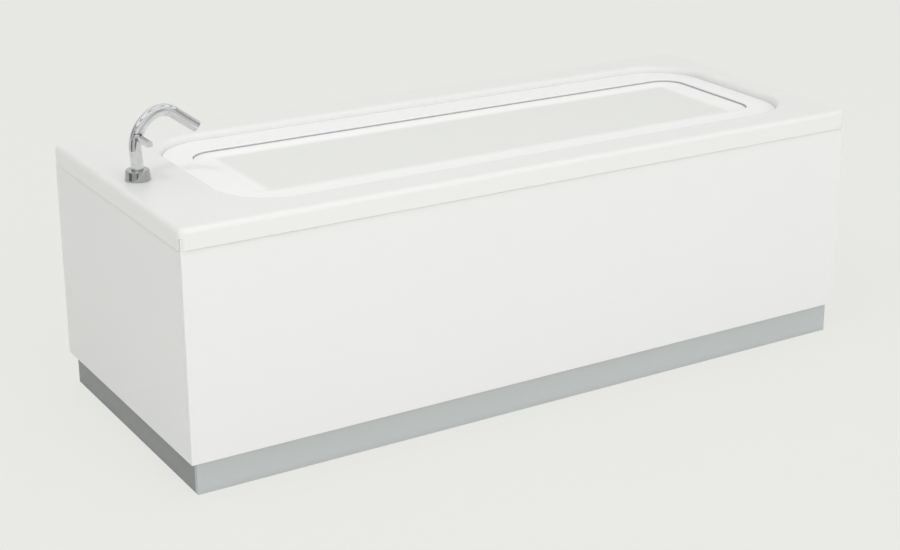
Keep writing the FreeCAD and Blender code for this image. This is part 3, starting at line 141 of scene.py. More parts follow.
def between(amount, low, high, start=0.0, end=1.0, ease="LINEAR"):
    """A number that goes from low to high as another goes from start to end."""
    node = add("MapRange", {"interpolation_type": ease}, _0=amount, _1=start, _2=end, _3=low, _4=high)
    return node.outputs[0]


def blend(amount, *colours):
    """A colour between two, each a tuple or another node's colour."""
    first, second = ((*colour, 1) if isinstance(colour, tuple) else colour for colour in colours)
    return add("Mix", {"data_type": "RGBA"}, _0=amount, _6=first, _7=second).outputs[2]


def bumps(height, strength, depth, below=(0, 0, 0)):
    """A surface normal tilted by a height pattern, whose full relief is a depth in metres."""
    return add("Bump", Height=height, Strength=strength, Distance=depth, Normal=below).outputs[0]


def surfaced(owner, kind, build):
    """Gives a material or a world the surface node that a function builds in its node tree."""
    global tree
    owner.use_nodes = True
    tree = owner.node_tree
    tree.nodes.clear()
    output = tree.nodes.new("ShaderNodeOutput" + kind)
    tree.links.new(build().outputs[0], output.inputs["Surface"])
    return owner


def new_material(name, build):
    return surfaced(bpy.data.materials.new(name), "Material", build)


def shade(name, pattern, *recipe, **constants):
    """A material whose pattern gives the base colour, roughness and normal that vary."""
    def build():
        colour, roughness, normal = pattern(*recipe)
        return add("BsdfPrincipled", Base_Color=colour, Roughness=roughness, Normal=normal, **constants)
    return new_material(name, build)


def to_object(mesh, name):
    data = bpy.data.meshes.new(name)
    mesh.to_mesh(data)
    mesh.free()
    return linked(name, data)


print("node helpers ready")

# %% [markdown]
# ## The studio
#
# The background is one even, faintly green grey, with no horizon. A very large floor of that
# colour fills the picture. What the camera, mirrors and glass see of it is mostly its own even
# colour, with a share of real light left in, so the bath still throws a soft shadow.

# %% Floor
BACKGROUND = (0.815, 0.818, 0.787)
OWN_COLOUR_SHARE = 0.86
FLOOR_HALF_SIZE = 60


def even_ground():
    """Its own colour to the camera, mirrors and glass; a lit surface to rays of soft light."""
    seen = add("LightPath").outputs
    straight = maths("MAXIMUM", seen["Is Camera Ray"], seen["Is Glossy Ray"])
    straight = maths("MAXIMUM", straight, seen["Is Transmission Ray"])
    lit = add("BsdfDiffuse", Color=(*BACKGROUND, 1))
    even = add("Emission", Color=(*BACKGROUND, 1))
    share = between(straight, 0, OWN_COLOUR_SHARE)
    return add("MixShader", _0=share, _1=lit.outputs[0], _2=even.outputs[0])


mesh = bmesh.new()
bmesh.ops.create_grid(mesh, x_segments=1, y_segments=1, size=FLOOR_HALF_SIZE)
floor = to_object(mesh, "floor")
floor.data.materials.append(new_material("studio_floor", even_ground))
print("floor:", 2 * FLOOR_HALF_SIZE, "m square")

bpy.context.scene.view_settings.view_transform = "Standard"

# %% [markdown]
# ## Lamps and sky
#
# The picture has no hard shadow: the front and the top are lit alike and the tap end is a
# step darker. A bright sky gives the even light, one large lamp in front lifts the front face,
# and a small high one beyond the tap end gives the tap its faint shadow. Chrome shows nothing
# but its surroundings, so the sky has dark bands, like the gaps between a studio's lights:
# some upright, which draw lines down the column, and some level, which draw lines along the
# arch. The lamps themselves are hidden from reflections, so that they leave no white squares.

# %% Lamps and sky
SKY_STRENGTH = 0.85
SKY_SIDES = ((0.00, 0.60), (0.04, 0.28), (0.08, 0.90), (0.15, 1.05), (0.22, 1.00), (0.29, 0.50),
             (0.34, 0.95), (0.41, 0.30), (0.48, 0.95), (0.56, 1.00), (0.76, 0.95), (0.84, 0.74),
             (0.90, 0.25), (0.95, 0.60), (1.00, 0.60))
SKY_HEIGHTS = ((0.00, 1.0), (0.42, 1.0), (0.47, 0.20), (0.52, 1.25), (0.66, 1.15), (0.70, 0.15),
               (0.75, 1.35), (0.88, 1.20), (0.92, 0.45), (0.96, 1.20), (1.00, 1.20))
LEVEL_BANDS_FROM, LEVEL_BANDS_FULL = 0.35, 0.45


def area_lamp(name, place, aim, size, power):
    """A square lamp at a place, turned to face another."""
    data = bpy.data.lights.new(name, "AREA")
    data.size = size
    data.energy = power
    lamp = linked(name, data)
    lamp.location = place
    lamp.rotation_euler = (Vector(aim) - Vector(place)).to_track_quat("-Z", "Y").to_euler()
    lamp.visible_glossy = False


def grey_ramp(amount, levels, ease="EASE"):
    """A grey that changes along a number from 0 to 1, through (place, level) pairs."""
    ramp = add("ValToRGB", Fac=amount)
    stops = ramp.color_ramp.elements
    while len(stops) < len(levels):
        stops.new(0.5)
    for stop, (place, level) in zip(stops, levels):
        stop.position = place
        stop.color = (level, level, level, 1)
    ramp.color_ramp.interpolation = ease
    return ramp.outputs["Color"]


def banded_sky():
    heading = add("TexCoord").outputs["Generated"]
    round_sky = add("TexGradient", {"gradient_type": "RADIAL"}, Vector=heading).outputs["Fac"]
    climb = height_of(heading)
    high_up = between(climb, 0, 1, LEVEL_BANDS_FROM, LEVEL_BANDS_FULL, "SMOOTHSTEP")
    seen = blend(high_up, grey_ramp(round_sky, SKY_SIDES), grey_ramp(climb, SKY_HEIGHTS))
    light = add("Background", Color=seen, Strength=SKY_STRENGTH)
    plain = add("Background", Color=(*BACKGROUND, 1), Strength=1)
    camera_ray = add("LightPath").outputs["Is Camera Ray"]
    return add("MixShader", _0=camera_ray, _1=light.outputs[0], _2=plain.outputs[0])


bpy.context.scene.world = surfaced(bpy.data.worlds.new("sky"), "World", banded_sky)
area_lamp("front_lamp", (0.8, -7.5, 3.4), (0, 0, 0.3), 4.0, 150)
area_lamp("tap_shadow_lamp", (-2.7, -1.7, 4.2), (-0.5, 0, 0.5), 0.8, 32)
print("sky and", len(bpy.data.lights), "lamps made")

# %% [markdown]
# ## A low grey screen for the chrome
#
# The tap's foot mirrors something low and grey round the studio, with darker bars, while the
# column mirrors the floor in front of it. A low round screen does the same. It is seen in
# mirrors alone: it lights nothing, throws no shadow and is hidden from the camera, so it can't
# change the rest of the picture.

# %% The screen
SCREEN_RADIUS, SCREEN_HEIGHT, SCREEN_SIDES = 2.7, 0.75, 96
TAP_IN_THE_ROOM = (-0.79, 0, 0)
SCREEN_LEVELS = ((0.00, 0.20), (0.045, 0.56), (0.165, 0.20), (0.235, 0.62), (0.5, 0.70), (0.95, 0.60),
                 (0.955, 0.20))


def grey_round_the_tap():
    turned = add("TexGradient", {"gradient_type": "RADIAL"}, Vector=spots(middle=TAP_IN_THE_ROOM))
    return add("Emission", Color=grey_ramp(turned.outputs["Fac"], SCREEN_LEVELS, "CONSTANT"))


mesh = bmesh.new()
bmesh.ops.create_cone(mesh, segments=SCREEN_SIDES, radius1=SCREEN_RADIUS, radius2=SCREEN_RADIUS,
                      depth=SCREEN_HEIGHT)
bmesh.ops.translate(mesh, vec=(0, 0, SCREEN_HEIGHT / 2), verts=mesh.verts)
screen = to_object(mesh, "screen")
screen.data.materials.append(new_material("screen_grey", grey_round_the_tap))
for kind in ("camera", "diffuse", "transmission", "volume_scatter", "shadow"):
    setattr(screen, "visible_" + kind, False)

print("screen made")

# %% [markdown]
# ## White finishes
#
# Four whites meet on this bath. Cast acrylic is glossy with a faint waviness from the mould.
# The cover is a satin sheet with a very fine grain. The panels are board with a sprayed
# lacquer, whose orange-peel texture is a millimetre or two across. The waste fittings are a
# warmer, duller moulded plastic. Each gets its own ripple, gloss and slight colour drift.

# %% White finishes
def drift(colour, change, scale=3.0):
    """A colour that varies slowly and slightly over the surface, as a large moulding does."""
    darker = tuple(channel * (1 - change) for channel in colour)
    return blend(noise(spots(), scale, 2.0), darker, colour)


def acrylic():
    where = spots()
    wave = bumps(noise(where, 4, 1.0), 0.10, 0.0008)
    fine = bumps(noise(where, 1200, 1.0), 0.04, 0.00002, wave)
    smears = between(noise(where, 9, 4.0, 0.55), 0.30, 0.35, 0.35, 0.7)
    return drift((0.80, 0.80, 0.788), 0.008), smears, fine


def glass_fibre_back():
    """The hidden side of the moulding: chopped glass strands in sprayed resin."""
    where = spots()
    strands = add("TexVoronoi", {"feature": "DISTANCE_TO_EDGE"}, Vector=where, Scale=160.0).outputs[0]
    matted = noise(where, 70, 6.0, 0.7)
    resin = blend(matted, (0.55, 0.51, 0.40), (0.70, 0.68, 0.58))
    colour = blend(between(strands, 0.5, 0, 0, 0.08), resin, (0.80, 0.79, 0.72))
    relief = bumps(strands, 0.35, 0.0006, bumps(matted, 0.5, 0.0015))
    return colour, between(matted, 0.35, 0.65), relief


def panel_lacquer():
    where = spots()
    peel = bumps(noise(where, 420, 2.0), 0.12, 0.00012)
    sheen = between(noise(where, 5, 4.0, 0.6), 0.36, 0.46, 0.3, 0.7)
    return drift((0.80, 0.80, 0.796), 0.010, 2.0), sheen, peel


def waste_plastic():
    where = spots()
    grain = bumps(noise(where, 650, 3.0), 0.2, 0.0001)
    return drift((0.76, 0.755, 0.72), 0.05, 14), between(noise(where, 40), 0.42, 0.56), grain

# %% [markdown]
# ## The tray's grey middle and the painted shade round it
#
# The tray in the cover's middle is slightly greyer than the border round it, and the change is
# soft. The distance from a rounded rectangle gives that: what lies beyond the inner rectangle
# is measured, and the grey fades out over that distance. The border gets painted shade: a thin
# grey band low on the step down to the tray, where the groove is in shadow. The same distance
# keeps that band off the cover's underside and its outer edge.

# %% The cover's finish
TRAY_MIDDLE, TRAY_FLAT, TRAY_FADE = (0.051, 0, 0), (0.600, 0.126, 1), 0.022
# The second grey, and the step's middle, half size, top and fades below, lay painted shade low on the step down to
# the tray.
TRAY_GREY, STEP_SHADE_GREY = (0.775, 0.785, 0.755), (0.46, 0.46, 0.465)
STEP_SHADE_MIDDLE, STEP_SHADE_HALF, STEP_SHADE_FADE = (0.050, 0, 0), (0.669, 0.176, 1), 0.0005
STEP_SHADE_TOP, STEP_SHADE_TOP_FADE = 0.5528, 0.0012


def cover_sheet():
    where = spots()
    grain = bumps(noise(where, 1100, 2.0), 0.10, 0.00005)
    grain = bumps(noise(where, 18, 2.0), 0.06, 0.0004, grain)
    gloss = between(noise(where, 7, 5.0, 0.6), 0.34, 0.46, 0.3, 0.7)
    return drift((0.885, 0.885, 0.88), 0.008), gloss, grain


def beyond(middle, half_size):
    """How far a place lies outside a rectangle, seen from above."""
    past = spots(middle=middle)
    for operation, other in (("ABSOLUTE", (0, 0, 0)), ("SUBTRACT", half_size), ("MAXIMUM", (0, 0, 0))):
        past = add("VectorMath", {"operation": operation}, _0=past, _1=other).outputs[0]
    return add("VectorMath", {"operation": "LENGTH"}, _0=past).outputs["Value"]


def border_sheet_with_painted_shade():
    """The cover's sheet, with painted shade: a grey band low on the step down to the tray."""
    colour, gloss, grain = cover_sheet()
    # Painted shade: below the border's top, inside the step's rectangle, the sheet is greyed as the groove's
    # shadow.
    low = between(height_of(), 0, 1, STEP_SHADE_TOP, STEP_SHADE_TOP - STEP_SHADE_TOP_FADE)
    inside = between(beyond(STEP_SHADE_MIDDLE, STEP_SHADE_HALF), 1, 0, 0, STEP_SHADE_FADE)
    return blend(maths("MULTIPLY", low, inside), colour, STEP_SHADE_GREY), gloss, grain


def tray_sheet():
    colour, gloss, grain = cover_sheet()
    grey = between(beyond(TRAY_MIDDLE, TRAY_FLAT), 1, 0, 0, TRAY_FADE, "SMOOTHSTEP")
    return blend(grey, colour, TRAY_GREY), gloss, grain

# %% [markdown]
# ## Plinth, wood and board
#
# The plinth is a grey laminate, with a fine speckle and scuffs near the floor. The end plinth is
# given a darker grey than the front: that is painted shade, for the side away from the light.
# The frame under the bath is sawn softwood. Wood's rings are sheets along the trunk, so a noise
# stretched along the grain gives streaks, and the same material needs the grain turned for each
# piece's own direction. The birch ply boards show their layers at the edge, as thin bands of
# height.

# %% Plinth, wood and board
SCUFF_TOP = 0.014
PLY_LAYER = 0.0028
GRAIN = {"X": (1, 14, 14), "Y": (14, 1, 14), "Z": (14, 14, 1)}


def plinth_laminate(base):
    where = spots()
    speckle = noise(where, 1400, 2.0)
    colour = blend(between(speckle, 0, 1, 0.35, 0.65), tuple(c * 0.94 for c in base), base)
    low = between(height_of(), 0.30, 0, 0.0, SCUFF_TOP)
    scuff = maths("MULTIPLY", low, noise(spots((1, 1, 3)), 35, 4.0, 0.7))
    colour = blend(scuff, colour, tuple(c * 0.55 for c in base))
    return colour, between(noise(where, 20, 4.0), 0.38, 0.52), bumps(speckle, 0.12, 0.00006)


def softwood(along):
    def stretched(by):
        return spots(tuple(by(s) for s in GRAIN[along]))
    rings = noise(stretched(lambda s: s), 5.5, 6.0, 0.62)
    fibres = noise(stretched(lambda s: 3 * s), 14, 3.0)
    colour = blend(between(rings, 0, 1, 0.38, 0.62), (0.62, 0.44, 0.25), (0.74, 0.58, 0.38))
    colour = blend(between(fibres, 0, 0.45, 0.45, 0.75), colour, (0.50, 0.33, 0.18))
    knots = add("TexVoronoi", Vector=stretched(lambda s: s ** 0.45), Scale=2.6).outputs["Distance"]
    colour = blend(between(knots, 0.8, 0, 0.02, 0.06), colour, (0.30, 0.17, 0.09))
    return colour, between(rings, 0.55, 0.75), bumps(fibres, 0.35, 0.0004)


def birch_ply():
    figure = noise(spots((1, 9, 9)), 7, 5.0, 0.6)
    face = blend(between(figure, 0, 1, 0.35, 0.65), (0.66, 0.52, 0.34), (0.76, 0.64, 0.46))
    layer = between(maths("PINGPONG", height_of(), PLY_LAYER), 0, 1, 0.3 * PLY_LAYER, 0.7 * PLY_LAYER)
    edge = blend(layer, (0.42, 0.29, 0.17), (0.72, 0.58, 0.40))
    flat = maths("ABSOLUTE", height_of(add("NewGeometry").outputs["Normal"]))
    colour = blend(between(flat, 0, 1, 0.4, 0.6), edge, face)
    return colour, between(figure, 0.5, 0.66), bumps(figure, 0.2, 0.0003)

# %% [markdown]
# ## Metals
#
# Chrome is nearly a mirror, so its look is in what it reflects and in faint water marks.
# Hot-dip galvanising freezes into crystals a centimetre across, each a little lighter or
# darker: that is a Voronoi pattern. Bright zinc plate, turned brass and drawn copper differ in
# colour, in how dull they are and in the fine lines that their making leaves.

# %% Metals
WATER_MARK = 0.89


def chrome(clean):
    where = spots()
    marks = noise(where, 120, 5.0, 0.65)
    marked = tuple(channel * WATER_MARK for channel in clean)
    return (blend(between(marks, 0, 1, 0.4, 0.8), clean, marked),
            between(marks, 0.07, 0.20, 0.4, 0.75), bumps(noise(where, 60, 1.0), 0.05, 0.0002))


def galvanised():
    where = spots()
    crystals = add("TexVoronoi", Vector=where, Scale=95.0).outputs["Color"]
    level = add("SeparateColor", Color=crystals).outputs[0]
    colour = blend(level, (0.42, 0.44, 0.46), (0.68, 0.70, 0.72))
    haze = between(noise(where, 12, 5.0, 0.6), 0, 0.5, 0.5, 0.75)
    colour = blend(haze, colour, (0.62, 0.62, 0.61))
    return colour, between(level, 0.34, 0.52), bumps(level, 0.15, 0.0002)


def turned_metal(light, dark, dull, scratch=900):
    """Plated or bare metal with fine machining lines and a duller film in patches."""
    lines = noise(spots((1, 1, 6)), scratch, 2.0)
    film = noise(spots(), 45, 5.0, 0.65)
    return (blend(between(film, 0, 1, 0.35, 0.7), light, dark),
            between(film, dull, dull + 0.22, 0.3, 0.75), bumps(lines, 0.18, 0.0001))

# %% [markdown]
# ## Dull mouldings
#
# Moulded nylon, rubber and the tap's pale cartridge share one recipe: a fine texture, a slow
# change of tone, and dust that settles in the low parts of the texture.

# %% Dull mouldings
def dull_moulding(colour, dust, low_gloss, high_gloss):
    where = spots()
    relief = bumps(noise(where, 700, 4.0, 0.6), 0.25, 0.00015)
    settled = between(noise(where, 26, 5.0, 0.65), 0, 0.5, 0.45, 0.8)
    return blend(settled, colour, dust), between(settled, low_gloss, high_gloss), relief

# %% [markdown]
# ## Every finish by its name
#
# The names are the record's, with a few more for the parts of a piece or a grain's direction.
# The tap's foot ring mirrors the white deck, and yet it is darker than the column in the
# photograph, so it has a darker chrome of its own: painted shade, laid into its colour to
# darken what it mirrors.

# %% Every finish by its name
looks = {
    "acrylic": shade("acrylic", acrylic, Coat_Weight=0.08, Coat_Roughness=0.2),
    "back": shade("glass_fibre_back", glass_fibre_back),
    "cover_sheet": shade("cover_sheet", cover_sheet),
    # The border's finish has painted shade on its step down to the tray.
    "border": shade("border_sheet_with_painted_shade", border_sheet_with_painted_shade),
    "tray": shade("tray_sheet", tray_sheet),
    "panel_board": shade("panel_lacquer", panel_lacquer),
    "plinth_board": shade("plinth_front", plinth_laminate, (0.522, 0.544, 0.548)),
    # The end plinth's darker grey is painted shade: the front's laminate, darkened for the shade on the tap end.
    "plinth_end": shade("plinth_end", plinth_laminate, (0.268, 0.280, 0.280)),
    "timber": shade("softwood_along_x", softwood, "X"),
    "timber_y": shade("softwood_along_y", softwood, "Y"),
    "timber_z": shade("softwood_upright", softwood, "Z"),
    "ply": shade("birch_ply", birch_ply),
    "galvanised_steel": shade("galvanised_steel", galvanised, Metallic=1.0),
    "zinc_plated_steel": shade("zinc_plate", turned_metal, (0.66, 0.69, 0.72), (0.48, 0.50, 0.51), 0.24,
                               Metallic=1.0),
    "chrome": shade("chrome", chrome, (0.74, 0.745, 0.75), Metallic=1.0),
    # A darker copy of the chrome: painted shade for the foot ring's dark reflection.
    "ring_chrome_painted_dark": shade("ring_chrome_painted_dark", chrome, (0.49, 0.493, 0.497), Metallic=1.0),
    "brass": shade("brass", turned_metal, (0.78, 0.60, 0.30), (0.58, 0.41, 0.19), 0.22, Metallic=1.0),
    "copper": shade("copper", turned_metal, (0.80, 0.46, 0.31), (0.47, 0.24, 0.15), 0.24, 400,
                     Metallic=1.0),
    "foot_plastic": shade("foot_nylon", dull_moulding, (0.020, 0.020, 0.022), (0.10, 0.10, 0.095), 0.45, 0.7),
    "seal_rubber": shade("seal_rubber", dull_moulding, (0.014, 0.014, 0.014), (0.07, 0.07, 0.066), 0.6, 0.85),
    "cable_sheath": shade("cable_sheath", dull_moulding, (0.030, 0.030, 0.034), (0.10, 0.10, 0.10), 0.38, 0.6),
    "grey_plastic": shade("grey_plastic", dull_moulding, (0.80, 0.80, 0.78), (0.70, 0.70, 0.69), 0.4, 0.6),
    "waste_plastic": shade("waste_plastic", waste_plastic),
}
slots = {part["node"]: part["material_slot"] for part in frame["record"]["subparts"]}
GRAIN_OF = {"far_batten": "timber_y", "end_floor_rails": "timber_y", "end_top_rails": "timber_y",
            "panel_studs": "timber_z", "tap_board": "ply", "baseboard": "ply"}
for name, obj in frame["nodes"].items():
    obj.data.materials.clear()
    obj.data.materials.append(looks[GRAIN_OF.get(name, slots[name])])
print(len(looks), "finishes on", len(frame["nodes"]), "nodes")

# %% [markdown]
# ## Tools for making meshes
#
# Nearly everything here is a ring swept, turned or bridged. The meshes are worked in
# millimetres and scaled to metres when they become objects. A last step gives each piece its
# shading: edges that turn more than 35 degrees stay sharp, the rest are smooth, and normals
# are weighted by area, so that a broad flat face stays flat beside its rounded edge.

# %% Finishing a piece
MM = 0.001
SHARP_TURN = math.radians(35)
BEVEL_TURN, BEVEL_STEPS = math.radians(30), 3


def box_of(name):
    """A measured node's lowest and highest corners, in millimetres."""
    low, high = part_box(name)
    return [v / MM for v in low], [v / MM for v in high]


def heights(name):
    low, high = box_of(name)
    return low[2], high[2]


def soften(piece, width):
    """Rounds the sharp edges of a piece, as a cast, moulded or machined edge is."""
    edge = piece.modifiers.new("rounded_edges", "BEVEL")
    edge.width = width * MM
    edge.segments = BEVEL_STEPS
    edge.limit_method = "ANGLE"
    edge.angle_limit = BEVEL_TURN
    edge.use_clamp_overlap = True
    edge.miter_outer = "MITER_ARC"


def finish_piece(mesh, name, node, *finishes, rounding=0.0):
    """Makes a mesh the piece that stands for a measured node, on that node's body and slot."""
    bmesh.ops.scale(mesh, vec=(MM, MM, MM), verts=mesh.verts)
    bmesh.ops.remove_doubles(mesh, verts=mesh.verts, dist=0.00001)
    bmesh.ops.recalc_face_normals(mesh, faces=mesh.faces)
    for face in mesh.faces:
        face.smooth = True
    for edge in mesh.edges:
        edge.smooth = len(edge.link_faces) == 2 and edge.calc_face_angle() < SHARP_TURN
    triangles = sum(len(face.verts) - 2 for face in mesh.faces)
    piece = to_object(mesh, name)
    for finish in finishes or (slots[node],):
        piece.data.materials.append(looks[finish])
    if rounding:
        soften(piece, rounding)
    weighted = piece.modifiers.new("flat_faces_stay_flat", "WEIGHTED_NORMAL")
    weighted.keep_sharp = True
    body = next(b for b, members in frame["record"]["behaviour"]["bodies"].items() if node in members)
    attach(piece, body)
    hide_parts(node)
    print(name, "on", body, triangles, "triangles")

# %% Rings of a rounded rectangle
def bevelled(mesh, geom, offset, steps, affect="EDGES"):
    bmesh.ops.bevel(mesh, geom=geom, affect=affect, offset=offset, offset_type="OFFSET", segments=steps,
                    profile=0.5, material=-1)


def ring(mesh, spans, corner, height, steps=16):
    """A flat rounded rectangle of edges. spans: low X, high X, low Y, high Y."""
    before = set(mesh.faces)
    square = bmesh.ops.create_grid(mesh, x_segments=1, y_segments=1, size=0.5)["verts"]
    low_x, high_x, low_y, high_y = spans
    bmesh.ops.scale(mesh, vec=(high_x - low_x, high_y - low_y, 1), verts=square)
    bmesh.ops.translate(mesh, vec=((low_x + high_x) / 2, (low_y + high_y) / 2, height), verts=square)
    bevelled(mesh, square, corner, steps, "VERTICES")
    face, = set(mesh.faces) - before
    edges = list(face.edges)
    bmesh.ops.delete(mesh, geom=[face], context="FACES_ONLY")
    return edges


def grown(spans, by):
    """Spans made larger on every side by a distance."""
    return (spans[0] - by, spans[1] + by, spans[2] - by, spans[3] + by)


def level(spans, corner, by, height):
    """A ring's spans, corner and height, with the ring grown by a distance."""
    return grown(spans, by), corner + by, height


def rounded(spans, corner, edge, radius, steps, outward=1, way=1):
    """Levels of a quarter round, from an upright face to a flat top at the edge's height.

    outward 1 curls away from the middle, as the lip of an opening does, and -1 curls in. With
    way -1 the flat lies below the upright face.
    """
    turns = [math.radians(90 * k / steps) for k in range(steps + 1)]
    return [level(spans, corner, outward * radius * (1 - math.cos(turned_by)),
                  edge - way * radius + way * radius * math.sin(turned_by)) for turned_by in turns]


def skin(mesh, levels, close_first=False, close_last=False, join_ends=False, finish=0):
    """Bridges rings in order. Each level is (spans, corner, height)."""
    rings = [ring(mesh, *level) for level in levels]
    pairs = list(zip(rings, rings[1:])) + ([(rings[-1], rings[0])] if join_ends else [])
    made = [bmesh.ops.bridge_loops(mesh, edges=lower + upper) for lower, upper in pairs]
    made += [bmesh.ops.contextual_create(mesh, geom=edges)
             for wanted, edges in ((close_first, rings[0]), (close_last, rings[-1])) if wanted]
    for result in made:
        for face in result["faces"]:
            face.material_index = finish

# %% Turned pieces
DEGREES_A_STEP = 6


def pointed(along):
    """The rotation that turns Z to a direction."""
    return Vector((0, 0, 1)).rotation_difference(Vector(along)).to_matrix().to_4x4()


def lathe(outline, place=(0, 0, 0), along=(0, 0, 1), steps=48, mesh=None):
    """Turns an outline of (radius, height) points round an axis through a place."""
    mesh = bmesh.new() if mesh is None else mesh
    corners = [mesh.verts.new((radius, 0, height)) for radius, height in outline]
    pairs = list(zip(corners, corners[1:]))
    if not outline[0][0] == outline[-1][0] == 0:
        pairs.append((corners[-1], corners[0]))
    edges = [mesh.edges.new(pair) for pair in pairs]
    before = set(mesh.verts) - set(corners)
    bmesh.ops.spin(mesh, geom=corners + edges, cent=(0, 0, 0), axis=(0, 0, 1), angle=2 * math.pi,
                   steps=steps, use_merge=True)
    made = [v for v in mesh.verts if v not in before]
    bmesh.ops.transform(mesh, matrix=Matrix.Translation(place) @ pointed(along), verts=made)
    bmesh.ops.remove_doubles(mesh, verts=made, dist=0.001)
    return mesh


def collar(inner, outer, low, high, *where, **how):
    """A plain turned ring, or a round bar if its inner radius is 0."""
    return lathe([(inner, low), (outer, low), (outer, high), (inner, high)], *where, **how)


def ball(radius, around, up):
    mesh = bmesh.new()
    bmesh.ops.create_uvsphere(mesh, u_segments=around, v_segments=up, radius=radius)
    return mesh

# %% Bent tubes
def moved_end(mesh, faces, by):
    made = bmesh.ops.extrude_face_region(mesh, geom=faces)["geom"]
    bmesh.ops.translate(mesh, vec=by, verts=[item for item in made if isinstance(item, bmesh.types.BMVert)])
    return made


def bent_tube(outer, inner, steps, start, heading, side, sides=32):
    """A round tube, or a bar if inner is 0, drawn along runs and swung round turns.

    A step is ("run", length) or ("turn", radius, degrees, way), and way 1 turns towards side.
    """
    mesh = bmesh.new()
    verts = []
    for radius in (outer, inner)[:2 if inner else 1]:
        verts += bmesh.ops.create_circle(mesh, segments=sides, radius=radius, cap_ends=not inner)["verts"]
    if inner:
        bmesh.ops.bridge_loops(mesh, edges=list({edge for vert in verts for edge in vert.link_edges}))
    bmesh.ops.transform(mesh, matrix=Matrix.Translation(start) @ pointed(heading), verts=verts)
    first = end = list({face for vert in verts for face in vert.link_faces})
    place, ahead_now, side_now = Vector(start), Vector(heading), Vector(side)
    hinge = ahead_now.cross(side_now)
    for step in steps:
        if step[0] == "run":
            made = moved_end(mesh, end, ahead_now * step[1])
            place = place + ahead_now * step[1]
        else:
            bend, degrees, way = step[1:]
            centre = place + side_now * bend * way
            made = bmesh.ops.spin(mesh, geom=end, cent=centre, axis=hinge * way, angle=math.radians(degrees),
                                  steps=max(2, round(degrees / DEGREES_A_STEP)))["geom_last"]
            swing = Matrix.Rotation(math.radians(degrees) * way, 3, hinge)
            place = centre + swing @ (place - centre)
            ahead_now, side_now = swing @ ahead_now, swing @ side_now
        if end is not first:
            bmesh.ops.delete(mesh, geom=end, context="FACES")
        end = [item for item in made if isinstance(item, bmesh.types.BMFace)]
    return mesh

# %% Blocks and drawn-out outlines
def block(low, high, mesh=None, turned_by=0):
    """A block between two corners, turned about Z by an angle."""
    mesh = bmesh.new() if mesh is None else mesh
    verts = bmesh.ops.create_cube(mesh, size=1)["verts"]
    bmesh.ops.scale(mesh, vec=[top - bottom for bottom, top in zip(low, high)], verts=verts)
    bmesh.ops.translate(mesh, vec=[(top + bottom) / 2 for bottom, top in zip(low, high)], verts=verts)
    if turned_by:
        bmesh.ops.rotate(mesh, cent=(0, 0, 0), matrix=Matrix.Rotation(turned_by, 3, "Z"), verts=verts)
    return mesh


def ribs_round(count, low, high):
    ribs = bmesh.new()
    for k in range(count):
        block(low, high, ribs, 2 * math.pi * k / count)
    return ribs


def drawn_out(corners, by, mesh=None):
    """A flat outline drawn out to a solid."""
    mesh = bmesh.new() if mesh is None else mesh
    moved_end(mesh, [mesh.faces.new([mesh.verts.new(corner) for corner in corners])], by)
    return mesh


def moved(mesh, by):
    bmesh.ops.translate(mesh, vec=by, verts=mesh.verts)
    return mesh


def hexagon(mesh, width, low, high, place):
    """An upright hexagon bar, its width measured across its flats."""
    radius = width / math.sqrt(3)
    verts = bmesh.ops.create_cone(mesh, segments=6, radius1=radius, radius2=radius, depth=high - low,
                                  cap_ends=True)["verts"]
    bmesh.ops.rotate(mesh, cent=(0, 0, 0), matrix=Matrix.Rotation(math.pi / 6, 3, "Z"), verts=verts)
    bmesh.ops.translate(mesh, vec=(place[0], place[1], (low + high) / 2), verts=verts)

# %% [markdown]
# ## Joining and cutting
#
# Some pieces are easiest as simple solids joined or cut: a spider in a waste, a window in a
# tube. The Boolean modifier does that. Its result is taken back into a mesh, so that doubles
# can be merged and the piece finished like the rest.

# %% Joining and cutting
WELD = 0.004


def carve(mesh, *tools, operation="DIFFERENCE"):
    """A mesh with others cut out of it, joined to it, or kept where both are, in turn."""
    for tool in tools:
        for part in (mesh, tool):
            bmesh.ops.recalc_face_normals(part, faces=part.faces)
        base, other = to_object(mesh, "base"), to_object(tool, "tool")
        change = base.modifiers.new("carve", "BOOLEAN")
        change.operation, change.object, change.solver = operation, other, "EXACT"
        bpy.context.view_layer.update()
        result = bpy.data.meshes.new_from_object(base.evaluated_get(bpy.context.evaluated_depsgraph_get()))
        mesh = bmesh.new()
        mesh.from_mesh(result)
        for piece in (base, other):
            bpy.data.objects.remove(piece)
        bmesh.ops.remove_doubles(mesh, verts=mesh.verts, dist=WELD)
        bmesh.ops.dissolve_degenerate(mesh, edges=mesh.edges, dist=WELD)
    return mesh


def join(mesh, *tools):
    return carve(mesh, *tools, operation="UNION")


print("mesh tools ready")

# %% [markdown]
# ## The moulded bath
#
# A real acrylic bath is one sheet, softened and drawn into a mould, so every edge is a bend of
# even radius. Going round its section in rings gives the same thing: well, rebate, wall, lip,
# deck, rim and skirt. The hidden side is a second stack of rings, with the fibreglass that is
# sprayed on to stiffen the sheet. The holes for the tap, waste and overflow are cut last.

